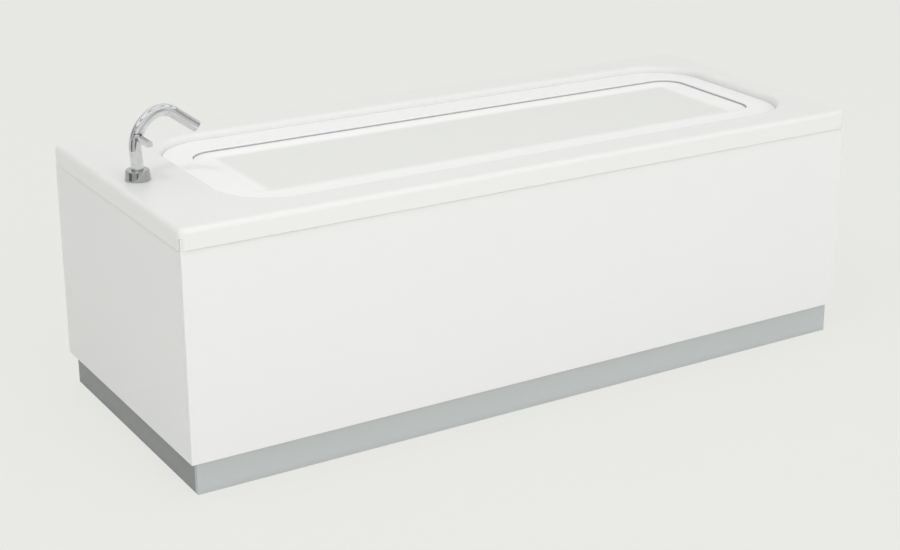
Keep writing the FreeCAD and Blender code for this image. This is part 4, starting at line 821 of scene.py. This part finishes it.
# %% The moulded bath
tub_low, tub_high = box_of("tub_shell")
RIM, RIM_TOP = (tub_low[0], tub_high[0], tub_low[1], tub_high[1]), tub_high[2]
RIM_CORNER, RIM_ROUND, SKIRT, SKIRT_ROUND, SHEET = 16, 12, 44, 0.8, 6
SKIRT_FOOT = RIM_TOP - SKIRT
DECK_TAP, DECK_FAR, DECK_SIDE, LIP_CORNER, LIP_ROUND = 160, 60, 80, 140, 12
WALL = (RIM[0] + DECK_TAP + LIP_ROUND, RIM[1] - DECK_FAR - LIP_ROUND,
        RIM[2] + DECK_SIDE + LIP_ROUND, RIM[3] - DECK_SIDE - LIP_ROUND)
WALL_CORNER = LIP_CORNER - LIP_ROUND
REBATE_WIDTH, REBATE = 14, RIM_TOP - 30
MOUTH, MOUTH_CORNER = grown(WALL, -REBATE_WIDTH), WALL_CORNER - REBATE_WIDTH
TAP_END_SLOPE, BACKREST_SLOPE, SIDE_SLOPE = 60, 230, 60
FLOOR = (MOUTH[0] + TAP_END_SLOPE, MOUTH[1] - BACKREST_SLOPE, MOUTH[2] + SIDE_SLOPE, MOUTH[3] - SIDE_SLOPE)
FLOOR_CORNER, FLOOR_ROUND, WELL_FLOOR = 90, 40, 155
TAP_X, WASTE_X = RIM[0] + 58, RIM[0] + 330
TAP_AT, TAP_ON_DECK, WASTE_AT = (TAP_X, 0, 0), (TAP_X, 0, RIM_TOP), (WASTE_X, 0, 0)
TAP_HOLE, WASTE_HOLE, OVERFLOW_HOLE = 17.5, 26, 25
OVERFLOW_HEIGHT = 470
OVERFLOW_LEAN = math.atan2(TAP_END_SLOPE, REBATE - WELL_FLOOR)
OVERFLOW_AT = Vector((MOUTH[0] + (REBATE - OVERFLOW_HEIGHT) * math.tan(OVERFLOW_LEAN), 0, OVERFLOW_HEIGHT))
OVERFLOW_ALONG = Vector((math.cos(OVERFLOW_LEAN), 0, math.sin(OVERFLOW_LEAN)))
TAB_WIDTH, TAB_GAP = 15, 0.4


def well_levels(growth, steps=8):
    """Rings from the flat of the well's floor, round its edge."""
    levels = []
    floor, rounding = WELL_FLOOR - growth, FLOOR_ROUND + growth
    rise = REBATE - floor
    for k in range(steps + 1):
        turned_by = math.radians(90 * k / steps)
        height = rounding * (1 - math.cos(turned_by))
        inset = rounding * (1 - math.sin(turned_by))
        share = height / rise
        spans = tuple(low + (high - low) * share for low, high in zip(FLOOR, MOUTH))
        corner = FLOOR_CORNER + growth + (MOUTH_CORNER - FLOOR_CORNER) * share - inset
        levels.append((grown(spans, growth - inset), corner, floor + height))
    return levels


mesh = bmesh.new()
foot = rounded(RIM, RIM_CORNER, SKIRT_FOOT, SKIRT_ROUND, 3, -1, -1)
seen = well_levels(0) + [(MOUTH, MOUTH_CORNER, REBATE), (WALL, WALL_CORNER, REBATE)]
seen += rounded(WALL, WALL_CORNER, RIM_TOP, LIP_ROUND, 8)
seen += rounded(RIM, RIM_CORNER, RIM_TOP, RIM_ROUND, 8, -1)[::-1] + foot
skin(mesh, seen, close_first=True)
under_rim, under_rebate = RIM_TOP - SHEET, REBATE - SHEET
hidden = [foot[-1], level(RIM, RIM_CORNER, -SHEET, SKIRT_FOOT), level(RIM, RIM_CORNER, -SHEET, under_rim),
          level(WALL, WALL_CORNER, SHEET, under_rim), level(WALL, WALL_CORNER, SHEET, under_rebate),
          level(MOUTH, MOUTH_CORNER, SHEET, under_rebate)] + well_levels(SHEET)[::-1]
skin(mesh, hidden, close_last=True, finish=1)
bmesh.ops.remove_doubles(mesh, verts=mesh.verts, dist=0.01)
holes = collar(0, TAP_HOLE, SKIRT_FOOT, RIM_TOP + SHEET, TAP_AT)
collar(0, WASTE_HOLE, WELL_FLOOR - 2 * SHEET, WELL_FLOOR + SHEET, WASTE_AT, mesh=holes)
collar(0, OVERFLOW_HOLE, -3 * SHEET, 3 * SHEET, OVERFLOW_AT, OVERFLOW_ALONG, mesh=holes)
low, high = box_of("front_panel")
block((low[0] - TAB_GAP, low[1] - TAB_GAP, SKIRT_FOOT - 1),
      (low[0] + TAB_WIDTH + TAB_GAP, high[1] + TAB_GAP, high[2] + TAB_GAP), holes)
finish_piece(carve(mesh, holes), "bath_moulding", "tub_shell", "acrylic", "back")

# %% [markdown]
# ## The lift-out cover
#
# The photograph shows an inside only a finger deep, so a fitted cover closes the well. It is a
# border frame that lies on the rebate, and a dished tray that drops into it. Both are rings
# again. The dish has no edge: its slope is an S-curve, so the light changes softly across it.

# %% The cover
BORDER_END, BORDER_SIDE, TRAY_CORNER, TRAY_FLANGE, TRAY_SEAT, TRAY_ROUND = 60, 83, 58, 4, 12, 1
STEP = (WALL[0] + BORDER_END, WALL[1] - BORDER_END, WALL[2] + BORDER_SIDE, WALL[3] - BORDER_SIDE)
COVER_GAP, TRAY_GAP, COVER_ROUND = 0.5, 1.3, 0.8
BRIM, DISH_END, DISH_SIDE, DISH_DEPTH, DISH_CORNER, DISH_SLICES = 5, 52, 37, 5, 28, 12
cover_top, tray_top = heights("cover_border")[1], heights("cover_tray")[1]
FLANGE_FOOT = tray_top - TRAY_FLANGE

mesh = bmesh.new()
outside, corner = grown(WALL, -COVER_GAP), WALL_CORNER - COVER_GAP
levels = [(outside, corner, REBATE)] + rounded(outside, corner, cover_top, COVER_ROUND, 4, -1)
levels += rounded(STEP, TRAY_CORNER, cover_top, COVER_ROUND, 4)[::-1]
levels += [level(STEP, TRAY_CORNER, -inset, height)
           for inset, height in ((0, FLANGE_FOOT), (TRAY_SEAT, FLANGE_FOOT), (TRAY_SEAT, REBATE))]
skin(mesh, levels, join_ends=True)
finish_piece(mesh, "cover_frame", "cover_border", "border")

mesh = bmesh.new()
edge, edge_corner = grown(STEP, -TRAY_GAP), TRAY_CORNER - TRAY_GAP
levels = [level(STEP, TRAY_CORNER, -TRAY_SEAT - TRAY_GAP, height) for height in (REBATE, FLANGE_FOOT)]
levels += [(edge, edge_corner, FLANGE_FOOT)] + rounded(edge, edge_corner, tray_top, TRAY_ROUND, 3, -1)
for k in range(DISH_SLICES + 1):
    share = k / DISH_SLICES
    in_x, in_y = BRIM + (DISH_END - BRIM) * share, BRIM + (DISH_SIDE - BRIM) * share
    spans = (STEP[0] + in_x, STEP[1] - in_x, STEP[2] + in_y, STEP[3] - in_y)
    corner = TRAY_CORNER - BRIM + (DISH_CORNER - TRAY_CORNER + BRIM) * share
    levels.append((spans, corner, tray_top - DISH_DEPTH * (1 - math.cos(math.pi * share)) / 2))
skin(mesh, levels, close_first=True, close_last=True)
finish_piece(mesh, "cover_dish", "cover_tray", "tray")

# %% [markdown]
# ## Panels and plinths
#
# The front panel is one board with a small upright tab, which fills the corner under the rim
# where the two panels meet. Lacquered board has eased edges, and it is the eased edge that
# catches the light as the bright line down the corner. A Bevel modifier gives that.

# %% Panels and plinths
PANEL_EASE, PLINTH_EASE, PANEL_GAP = 0.8, 0.6, 1.0

low, high = box_of("front_panel")
shoulder, tab = SKIRT_FOOT - PANEL_GAP, low[0] + TAB_WIDTH
outline = [(low[0], low[2]), (high[0], low[2]), (high[0], shoulder), (tab, shoulder), (tab, high[2]),
           (low[0], high[2])]
mesh = drawn_out([(x, low[1], z) for x, z in outline], (0, high[1] - low[1], 0))
finish_piece(mesh, "front_board", "front_panel", rounding=PANEL_EASE)

finish_piece(block(*box_of("end_panel")), "end_board", "end_panel", rounding=PANEL_EASE)
finish_piece(block(*box_of("front_plinth")), "plinth_front", "front_plinth", rounding=PLINTH_EASE)
# The end plinth wears the darker grey, which is painted shade.
finish_piece(block(*box_of("end_plinth")), "plinth_end", "end_plinth", "plinth_end", rounding=PLINTH_EASE)

# %% [markdown]
# ## The tap
#
# The column is one bent tube, so it is made the way a tube is bent: a circle is drawn out along
# each straight and swung round each bend. The lever's window is cut in its front. The lever is
# a square bar with a chamfered tip, on a neck and a ball inside the column, and its upper heel
# is cut at a slant to clear the column. A thin ball-shaped shield nearly fills the window.

# %% The tap's column and its foot
SPOUT_RADIUS, SPOUT_WALL = 13, 2.2
SPOUT_STEPS = [("run", 24), ("turn", 260, 4, -1), ("run", 19), ("turn", 78, 67, 1), ("turn", 42, 64, 1),
               ("run", 61)]
WINDOW_HALF, WINDOW_DOWN, WINDOW_UP = 7.5, 4, 8.9
PIVOT = Vector(next(joint for joint in frame["joints"] if joint["name"] == "lever_turn")["pos_m"]) / MM

inside = SPOUT_RADIUS - SPOUT_WALL
tube = bent_tube(SPOUT_RADIUS, inside, SPOUT_STEPS, TAP_ON_DECK, (0, 0, 1), (1, 0, 0), 48)
window = block((PIVOT.x - WINDOW_HALF, -2 * SPOUT_RADIUS, PIVOT.z - WINDOW_DOWN),
               (PIVOT.x + WINDOW_HALF, 0, PIVOT.z + WINDOW_UP))
finish_piece(carve(tube, window), "spout", "tap_spout", rounding=0.5)
foot = lathe([(22.7, 0), (26.75, 0), (26.75, 2), (24.75, 20.5), (23.25, 22), (13.2, 22), (13.2, 1.2),
              (22.7, 1.2)], TAP_ON_DECK, steps=64)
# The foot ring wears the darker chrome, which is painted shade.
finish_piece(foot, "foot_ring", "tap_base_ring", "ring_chrome_painted_dark", rounding=0.4)
finish_piece(collar(TAP_HOLE, 22.5, 0, 1, TAP_ON_DECK), "foot_gasket", "tap_gasket")

# %% The lever
LEVER_SIDE, LEVER_START, LEVER_CHAMFER, LEVER_HEEL, LEVER_EDGE = 12, 16.2, 3.5, 3, 1.5
BALL_RADIUS, NECK_RADIUS, PIN_HOLE, SLOT_HALF = 8, 3, 1.6, 1.8
SHIELD_RADIUS, SHIELD_SHEET, SHIELD_ROOM = 10.4, 0.7, 0.15

half, reach = LEVER_SIDE / 2, -box_of("tap_lever")[0][1]
outline = [(LEVER_START, -half), (reach - LEVER_CHAMFER, -half), (reach, LEVER_CHAMFER - half),
           (reach, half - LEVER_CHAMFER), (reach - LEVER_CHAMFER, half),
           (LEVER_START + LEVER_HEEL, half), (LEVER_START, half - LEVER_HEEL)]
bar = drawn_out([(-half, -out, height) for out, height in outline], (LEVER_SIDE, 0, 0))
long_edges = [edge for edge in bar.edges if abs(edge.verts[0].co.y - edge.verts[1].co.y) > 2 * LEVER_SIDE]
bevelled(bar, long_edges, LEVER_EDGE, 4)
neck = collar(0, NECK_RADIUS, 0, LEVER_START + 2, along=(0, -1, 0), steps=32)
behind = block((-20, -1.5, -20), (20, 20, 20))
shield = carve(ball(SHIELD_RADIUS, 48, 32), ball(SHIELD_RADIUS - SHIELD_SHEET, 48, 32), behind)
slot = block((-SLOT_HALF, -4.9, 0), (SLOT_HALF, SLOT_HALF, 2 * BALL_RADIUS))
collar(0, PIN_HOLE, -12, 12, along=(1, 0, 0), steps=24, mesh=slot)
lever = carve(join(bar, neck, ball(BALL_RADIUS, 32, 20), shield), slot)
finish_piece(moved(lever, PIVOT), "lever", "tap_lever")

# %% The cartridge: the measured one, with room hollowed in its front for the lever's shield
mesh = bmesh.new()
mesh.from_mesh(frame["nodes"]["mixer_cartridge"].data)
bmesh.ops.scale(mesh, vec=(1 / MM, 1 / MM, 1 / MM), verts=mesh.verts)
bmesh.ops.remove_doubles(mesh, verts=mesh.verts, dist=0.001)
room = carve(ball(SHIELD_RADIUS + SHIELD_ROOM, 40, 24), block((-20, -20, -20), (20, 3, 20)),
             operation="INTERSECT")
finish_piece(carve(mesh, moved(room, PIVOT)), "cartridge", "mixer_cartridge")

# %% [markdown]
# ## Threads, nuts and tails under the deck
#
# A screw thread at this size is a stack of ridges: the outline of a lathed bar zigzags once
# per turn. Nuts are hexagons with a bore cut through. The copper tails are bent tubes.

# %% Threads and nuts
def thread_outline(radius, depth, pitch, low, high):
    """The half outline of a threaded bar with plain ends, from its axis and back to it."""
    turns = int((high - low) / pitch) - 1
    points = [(0, low), (radius - depth, low)]
    for k in range(turns):
        foot = low + pitch * (k + 0.5)
        points += [(radius - depth, foot), (radius, foot + 0.4 * pitch), (radius, foot + 0.55 * pitch)]
    return points + [(radius - depth, low + pitch * (turns + 0.5)), (radius - depth, high), (0, high)]


def make_nuts(name, node, places, width, bore, socket=None):
    """Hexagon nuts that share one piece, each (x, y, low, high), cut by a bore.

    A socket is (radius, depth) of a wider bore from below.
    """
    nuts, bores = bmesh.new(), bmesh.new()
    for x, y, low, high in places:
        hexagon(nuts, width, low, high, (x, y))
        mouth = [(socket[0], low - 1), (socket[0], low + socket[1])] if socket else [(bore, low - 1)]
        outline = [(0, low - 1), *mouth, (bore, mouth[-1][1]), (bore, high + 1), (0, high + 1)]
        lathe(outline, (x, y, 0), steps=32, mesh=bores)
    finish_piece(carve(nuts, bores), name, node, rounding=0.8)

# %% The tap's fixings
SHANK_RADIUS, SHANK_THREAD, SHANK_PITCH = 16, 0.8, 2
TAIL_RADIUS, TAIL_ROOM, TAIL_BEND = 5, 0.15, 40
TAIL_SPACING, TAIL_SPREAD, TAIL_STRAIGHT, TAIL_INSET = 16, 60, 5, 50.4
TAIL_TURN = math.degrees(math.acos(1 - (TAIL_SPREAD - TAIL_SPACING) / 4 / TAIL_BEND))

foot, top = heights("tap_shank")
shank = lathe(thread_outline(SHANK_RADIUS, SHANK_THREAD, SHANK_PITCH, foot, top), TAP_AT, steps=40)
bores = bmesh.new()
for way in (-1, 1):
    collar(0, TAIL_RADIUS + TAIL_ROOM, foot - 1, top + 1, (TAP_X, way * TAIL_SPACING / 2, 0), steps=24,
           mesh=bores)
finish_piece(carve(shank, bores), "threaded_shank", "tap_shank")
washer = collar(SHANK_RADIUS + 0.2, 25, *heights("tap_washer"), TAP_AT)
finish_piece(washer, "fixing_washer", "tap_washer", rounding=0.4)
make_nuts("back_nut", "tap_backnut", [(TAP_X, 0, *heights("tap_backnut"))], 46, SHANK_RADIUS + 0.15)
spread = [(TAP_X, way * TAIL_SPREAD / 2, *heights("tail_nuts")) for way in (-1, 1)]
make_nuts("supply_nuts", "tail_nuts", spread, 24, TAIL_RADIUS + TAIL_ROOM, socket=(7.5, 15))
swing = 2 * TAIL_BEND * math.sin(math.radians(TAIL_TURN))
for way, name, node in ((-1, "hot_pipe", "hot_tail"), (1, "cold_pipe", "cold_tail")):
    steps = [("run", TAIL_INSET + TAIL_STRAIGHT), ("turn", TAIL_BEND, TAIL_TURN, 1),
             ("turn", TAIL_BEND, TAIL_TURN, -1), ("run", foot - TAIL_STRAIGHT - swing - heights(node)[0])]
    start = (TAP_X, way * TAIL_SPACING / 2, foot + TAIL_INSET)
    tail = bent_tube(TAIL_RADIUS, TAIL_RADIUS - 1, steps, start, (0, 0, -1), (0, way, 0), 20)
    finish_piece(tail, name, node)

# %% [markdown]
# ## Waste, plug and trap
#
# The chrome flange in the bath's floor has a four-armed spider, which guides the plug's stem.
# Below it hang a moulded body, a ribbed nut and the S-bent trap, which keeps a plug of water
# against smells. The round parts are lathed and the trap is a bent tube.

# %% Waste and plug
FLANGE_RADIUS, FLANGE_THICK, TUBE_RADIUS, BORE_RADIUS, TUBE_DEPTH = 35, 2.5, 23.5, 21, 26
ARM_HALF, HUB_RADIUS, HUB_HEIGHT, STEM_RADIUS, STEM_ROOM = 1.5, 6, 8, 3, 0.15

low, top, reach = WELL_FLOOR - TUBE_DEPTH, WELL_FLOOR + FLANGE_THICK, BORE_RADIUS + 1
flange = lathe([(BORE_RADIUS, low), (TUBE_RADIUS, low), (TUBE_RADIUS, WELL_FLOOR),
                (FLANGE_RADIUS, WELL_FLOOR), (FLANGE_RADIUS, WELL_FLOOR + 0.6),
                (FLANGE_RADIUS - FLANGE_THICK, top - 0.2), (BORE_RADIUS + 3, top), (BORE_RADIUS, top - 1.2)],
               WASTE_AT, steps=64)
hub = collar(0, HUB_RADIUS, low, low + HUB_HEIGHT, WASTE_AT, steps=32)
arms = block((WASTE_X - reach, -ARM_HALF, low + 0.2), (WASTE_X + reach, ARM_HALF, low + HUB_HEIGHT - 0.2))
cross = block((WASTE_X - ARM_HALF, -reach, low + 0.3), (WASTE_X + ARM_HALF, reach, low + HUB_HEIGHT - 0.3))
guide = collar(0, STEM_RADIUS + STEM_ROOM, low - 1, low + HUB_HEIGHT + 1, WASTE_AT, steps=24)
flange = carve(join(flange, join(hub, arms, cross)), guide)
finish_piece(flange, "waste_flange_with_spider", "waste_flange", rounding=0.3)

foot = heights("waste_plug")[0]
plug = lathe([(0, foot), (25, foot), (26.6, foot + 0.6), (27, foot + 1.4), (27, foot + 2.4),
              (25.6, foot + 3.3), (18, foot + 4.7), (8, foot + 5), (0, foot + 5)], WASTE_AT, steps=64)
finish_piece(plug, "plug_cap", "waste_plug", rounding=0.2)
low, high = heights("plug_stem")
stem = lathe([(0, low), (2.2, low), (STEM_RADIUS, low + 0.8), (STEM_RADIUS, high), (0, high)], WASTE_AT,
             steps=24)
finish_piece(stem, "plug_spindle", "plug_stem")
seal = collar(WASTE_HOLE, 32, *heights("waste_seal"), WASTE_AT)
finish_piece(seal, "waste_washer", "waste_seal", rounding=0.6)

# %% The waste's body, nut and trap
PIPE_RADIUS, PIPE_WALL, TRAP_BEND, TRAP_DROP = 20, 2, 30, 20
BODY_RADIUS, NUT_RIBS = 28, 30
OVERFLOW_PIPE_RADIUS, OVERFLOW_PIPE_BEND, CABLE_RADIUS, CABLE_OFFSET = 15, 50, 3, 24
SOCKET_RADIUS, SOCKET_LIP, SOCKET_ROOM, BOSS_RADIUS = 17.4, 18.2, 0.2, 6
body_low, body_high = box_of("waste_body")
pipe_low, pipe_high = box_of("overflow_pipe")
INLET_Z = pipe_low[2] + OVERFLOW_PIPE_RADIUS


def socket_outline(mouth, lip, root):
    """A pipe socket that is thicker for a lip's length from its mouth."""
    return [(0, mouth), (SOCKET_LIP, mouth), (SOCKET_LIP, mouth + lip), (SOCKET_RADIUS, mouth + lip + 1),
            (SOCKET_RADIUS, root), (0, root)]


low, high, mouth = body_low[2], body_high[2], body_low[0]
along_x = {"place": (0, 0, INLET_Z), "along": (1, 0, 0)}
shell = lathe([(0, low), (BODY_RADIUS, low), (BODY_RADIUS, high - 12), (32, high - 8), (32, high),
               (0, high)], WASTE_AT, steps=56)
socket = lathe(socket_outline(mouth, 4, WASTE_X - 8), **along_x, steps=40)
boss = collar(0, BOSS_RADIUS, WASTE_X - 36, WASTE_X - 12, (0, -CABLE_OFFSET, INLET_Z), (1, 0, 0), steps=28)
inside, pipe = PIPE_RADIUS - PIPE_WALL, OVERFLOW_PIPE_RADIUS + SOCKET_ROOM
bore = lathe([(0, low - 1), (inside, low - 1), (inside, low + 4), (22, low + 4), (22, low + 20),
              (24, low + 22), (24, high + 1), (0, high + 1)], WASTE_AT)
inlet = lathe([(0, mouth - 1), (pipe, mouth - 1), (pipe, WASTE_X - 30), (13, WASTE_X - 30),
               (13, WASTE_X - 10), (0, WASTE_X - 10)], **along_x, steps=36)
housing = carve(join(shell, socket, boss), bore, inlet)
finish_piece(housing, "waste_housing", "waste_body", rounding=0.7)

top = body_low[2]
steps = [("run", TRAP_DROP), ("turn", TRAP_BEND, 180, 1), ("turn", TRAP_BEND, 90, -1),
         ("run", box_of("trap")[1][1] - 3 * TRAP_BEND)]
bend = bent_tube(PIPE_RADIUS, PIPE_RADIUS - PIPE_WALL, steps, (WASTE_X, 0, top), (0, 0, -1), (0, 1, 0), 40)
flange = collar(PIPE_RADIUS - 1, 24, top - 2.5, top, WASTE_AT)
finish_piece(join(bend, flange), "trap_bend", "trap", rounding=0.5)
low, high = heights("trap_nut")
inside, mouth = PIPE_RADIUS + 0.2, BODY_RADIUS + 0.2
nut = lathe([(inside, low), (30.5, low), (31.5, low + 1), (31.5, high - 1), (30.5, high), (mouth, high),
             (mouth, low + 4.2), (inside, low + 4.2)], WASTE_AT, steps=60)
ribs = moved(ribs_round(NUT_RIBS, (29.5, -1, low + 1.5), (33, 1, high - 1.5)), WASTE_AT)
finish_piece(join(nut, ribs), "ribbed_nut", "trap_nut", rounding=0.4)

# %% [markdown]
# ## Overflow and its control
#
# A round knob in the tap-end wall hides the overflow's ports and turns the plug's cable. It
# stands off a plate, so the water can pass behind it. The drum behind the wall, the pipe down
# to the waste and the guide tube for the cable are seen from behind and from under the bath.

# %% Overflow
DRUM_RADIUS, DRUM_DEPTH, SEAT, SEAL_THICK = 31, 22, 6.24, 2.5
PORTS, PORT_RADIUS, PORT_REACH = 6, 4.5, 13.2
KNOB_BACK, KNOB_THICK, RIDGE = 7, 9, (50, 8, 6)
DRUM_BACK, DRUM_FRONT = -(SEAT + SEAL_THICK + DRUM_DEPTH), -SEAT - SEAL_THICK


def on_overflow(mesh):
    """Turns a mesh made along Z onto the overflow's leaning axis."""
    turned_to = Matrix.Rotation(math.pi / 2 - OVERFLOW_LEAN, 4, "Y")
    bmesh.ops.transform(mesh, matrix=Matrix.Translation(OVERFLOW_AT) @ turned_to, verts=mesh.verts)
    return mesh


plate = lathe([(4.2, 0), (21, 0), (21, -12), (23, -12), (23, 0), (33, 0), (33, 1.6), (31.6, 3), (4.2, 3)],
              steps=56)
ports = bmesh.new()
for k in range(PORTS):
    angle = 2 * math.pi * k / PORTS
    collar(0, PORT_RADIUS, -6, 6, (PORT_REACH * math.cos(angle), PORT_REACH * math.sin(angle), 0), steps=20,
           mesh=ports)
finish_piece(on_overflow(carve(plate, ports)), "overflow_plate", "overflow_face", rounding=0.3)
front = KNOB_BACK + KNOB_THICK
knob = lathe([(0, DRUM_BACK + 7), (4, DRUM_BACK + 7), (4, KNOB_BACK), (30.5, KNOB_BACK),
              (32, KNOB_BACK + 1.5), (32, front - 3), (31, front - 1), (28.5, front), (0, front)], steps=64)
ridge = block((-RIDGE[0] / 2, -RIDGE[1] / 2, front - 1), (RIDGE[0] / 2, RIDGE[1] / 2, front + RIDGE[2]))
finish_piece(on_overflow(join(knob, ridge)), "overflow_control_knob", "overflow_knob", rounding=1.2)
seal = collar(OVERFLOW_HOLE, DRUM_RADIUS, DRUM_FRONT, -SEAT)
finish_piece(on_overflow(seal), "overflow_washer", "overflow_seal", rounding=0.5)

top, pipe_x = pipe_high[2], pipe_low[0] + OVERFLOW_PIPE_RADIUS
guide_high = box_of("cable_guide_tube")[1]
at_pipe, at_guide, guide_top = (pipe_x, 0, 0), (pipe_x, -CABLE_OFFSET, 0), guide_high[2]
drum = on_overflow(lathe([(0, DRUM_BACK), (DRUM_RADIUS - 3, DRUM_BACK), (DRUM_RADIUS, DRUM_BACK + 3),
                          (DRUM_RADIUS, DRUM_FRONT), (24, DRUM_FRONT), (24, DRUM_BACK + 4),
                          (0, DRUM_BACK + 4)], steps=56))
socket = lathe(socket_outline(top - 25, 5, top + 10), at_pipe, steps=40)
boss = collar(0, BOSS_RADIUS, guide_top - 12, guide_top + 8, at_guide, steps=28)
bores = collar(0, OVERFLOW_PIPE_RADIUS + SOCKET_ROOM, top - 26, top + 0.2, at_pipe, steps=36)
collar(0, CABLE_RADIUS + SOCKET_ROOM, guide_top - 13, guide_top + 0.2, at_guide, steps=24, mesh=bores)
finish_piece(carve(join(drum, socket, boss), bores), "overflow_housing", "overflow_body", rounding=0.6)
radius = OVERFLOW_PIPE_RADIUS
for name, node, radius, inner, y, corner, sides in (
        ("overflow_downpipe", "overflow_pipe", radius, radius - 2, 0, pipe_high, 36),
        ("control_guide_tube", "cable_guide_tube", CABLE_RADIUS, 0, -CABLE_OFFSET, guide_high, 20)):
    steps = [("run", corner[2] - INLET_Z - OVERFLOW_PIPE_BEND), ("turn", OVERFLOW_PIPE_BEND, 90, 1),
             ("run", corner[0] - pipe_x - OVERFLOW_PIPE_BEND)]
    finish_piece(bent_tube(radius, inner, steps, (pipe_x, y, corner[2]), (0, 0, -1), (1, 0, 0), sides),
                 name, node)

# %% [markdown]
# ## Feet, nuts and cradle
#
# Each foot is a threaded rod in a flared nylon cup, held in a steel channel between two nuts.
# The cup's flare is ribbed, so that fingers can turn it. The channels are folded sheet, whose
# bends are rounder than a cut edge: the folds get a large bevel and the cut ends almost none.

# %% Feet
ROD_RADIUS, ROD_THREAD, ROD_PITCH, ROD_HOLE = 6, 0.65, 1.75, 6.15
CUP_RIBS, RIB_TAPER = 8, 0.7


def make_foot(number):
    rod_node, cup_node = "foot_rod_%d" % number, "foot_cup_%d" % number
    low, high = box_of(rod_node)
    x, y = (low[0] + high[0]) / 2, (low[1] + high[1]) / 2
    rod = lathe(thread_outline(ROD_RADIUS, ROD_THREAD, ROD_PITCH, low[2], high[2]), (x, y, 0), steps=24)
    finish_piece(rod, "threaded_rod_%d" % number, rod_node)
    top = heights(cup_node)[1]
    cup = lathe([(0, 0), (25, 0), (26, 1), (26, 5), (25.2, 6.4), (19, 9), (13.5, 16), (11, 26), (11, top),
                 (0, top)], (x, y, 0))
    ribs = ribs_round(CUP_RIBS, (8, -0.9, 3), (17, 0.9, 24))
    for vert in ribs.verts:
        if vert.co.z > 20 and math.hypot(vert.co.x, vert.co.y) > 14:
            vert.co.x, vert.co.y = vert.co.x * RIB_TAPER, vert.co.y * RIB_TAPER
    socket = collar(0, ROD_HOLE, low[2], top + 1, (x, y, 0), steps=32)
    cup = carve(join(cup, moved(ribs, (x, y, 0))), socket)
    finish_piece(cup, "flared_cup_%d" % number, cup_node, rounding=0.5)
    return x, y


foot_spots = [make_foot(number) for number in (1, 2, 3, 4)]

# %% Nuts, cradle and screws
CHANNEL_SHEET, CHANNEL_FOLD = 2.5, 3.0
LOCK_NUT_WIDTH, LOCK_NUT_HEIGHT, SCREW_HOLE, SCREW_HEAD = 19, 7, 3.5, 6


def make_channel(name, node, places):
    low, high = box_of(node)
    mesh = block(low, high)
    folds = [edge for edge in mesh.edges if all(abs(v.co.z - high[2]) < 0.01 for v in edge.verts)
             and abs(edge.verts[0].co.y - edge.verts[1].co.y) > 1]
    bevelled(mesh, folds, CHANNEL_FOLD, 5)
    hollow = block((low[0] + CHANNEL_SHEET, low[1] - 1, low[2] - 1),
                   (high[0] - CHANNEL_SHEET, high[1] + 1, high[2] - CHANNEL_SHEET))
    holes = bmesh.new()
    for x, y, radius in places:
        collar(0, radius, low[2], high[2] + 1, (x, y, 0), steps=32, mesh=holes)
    finish_piece(carve(mesh, hollow, holes), name, node, rounding=0.25)


(_, near, foot), (_, far, top) = box_of("cradle_screws")
screws = bmesh.new()
for node, name in (("cradle_channel_tap", "tap_end_channel"), ("cradle_channel_far", "far_end_channel")):
    low, high = box_of(node)
    middle = (low[0] + high[0]) / 2
    rods = [(x, y, ROD_HOLE) for x, y in foot_spots if abs(x - middle) < 1]
    fixings = [(middle, y, SCREW_HOLE) for y in (near + SCREW_HEAD, far - SCREW_HEAD)]
    make_channel(name, node, rods + fixings)
    for x, y, _ in fixings:
        lathe([(0, foot + 1.2), (2, foot + 1.2), (2, foot + 0.2), (4.5, foot), (SCREW_HEAD, foot + 1.4),
               (SCREW_HEAD, foot + 2.5), (3, foot + 2.5), (3, top - 4), (0, top)], (x, y, 0), steps=28,
              mesh=screws)
web = heights("cradle_channel_tap")[1]
nuts = [(x, y, seat, seat + LOCK_NUT_HEIGHT) for x, y in foot_spots
        for seat in (web - CHANNEL_SHEET - LOCK_NUT_HEIGHT, web)]
make_nuts("rod_nuts", "foot_lock_nuts", nuts, LOCK_NUT_WIDTH, ROD_HOLE)
finish_piece(screws, "board_fixing_screws", "cradle_screws")

# %% [markdown]
# ## Wall brackets
#
# Each bracket is a strip folded twice: a plate on the wall, a short bridge and a tab on the
# batten. Its outline is drawn from the side and drawn out to the bracket's width.

# %% Wall brackets
THICK, BRACKET_WIDTH, BRACKET_HOLE = 2.5, 40, 2.5
BRIDGE_UP, PLATE_HOLE_DOWN = 50, 25

(left, tab, foot), (right_end, wall, top) = box_of("wall_brackets")
bridge, batten_middle = foot + BRIDGE_UP, sum(heights("back_batten")) / 2
outline = [(wall, foot), (wall, bridge), (tab + THICK, bridge), (tab + THICK, top), (tab, top),
           (tab, bridge - THICK), (wall - THICK, bridge - THICK), (wall - THICK, foot)]
mesh, holes, screws = bmesh.new(), bmesh.new(), bmesh.new()
for x in (left + BRACKET_WIDTH / 2, 0, right_end - BRACKET_WIDTH / 2):
    drawn_out([(x - BRACKET_WIDTH / 2, y, z) for y, z in outline], (BRACKET_WIDTH, 0, 0), mesh)
    for y, z in ((wall - 2 * THICK, bridge - PLATE_HOLE_DOWN), (tab - THICK, batten_middle)):
        collar(0, BRACKET_HOLE, 0, 3 * THICK, (x, y, z), (0, 1, 0), steps=24, mesh=holes)
    lathe([(0, 0), (2.3, 0), (2.3, THICK), (4.5, THICK), (4.3, THICK + 1.2), (3, THICK + 2),
           (1.2, THICK + 2), (1, THICK + 1), (0, THICK + 1)], (x, tab, batten_middle), (0, 1, 0), steps=28,
          mesh=screws)
finish_piece(carve(mesh, holes), "angle_brackets", "wall_brackets", rounding=0.8)
finish_piece(screws, "bracket_fixing_screws", "bracket_screws")
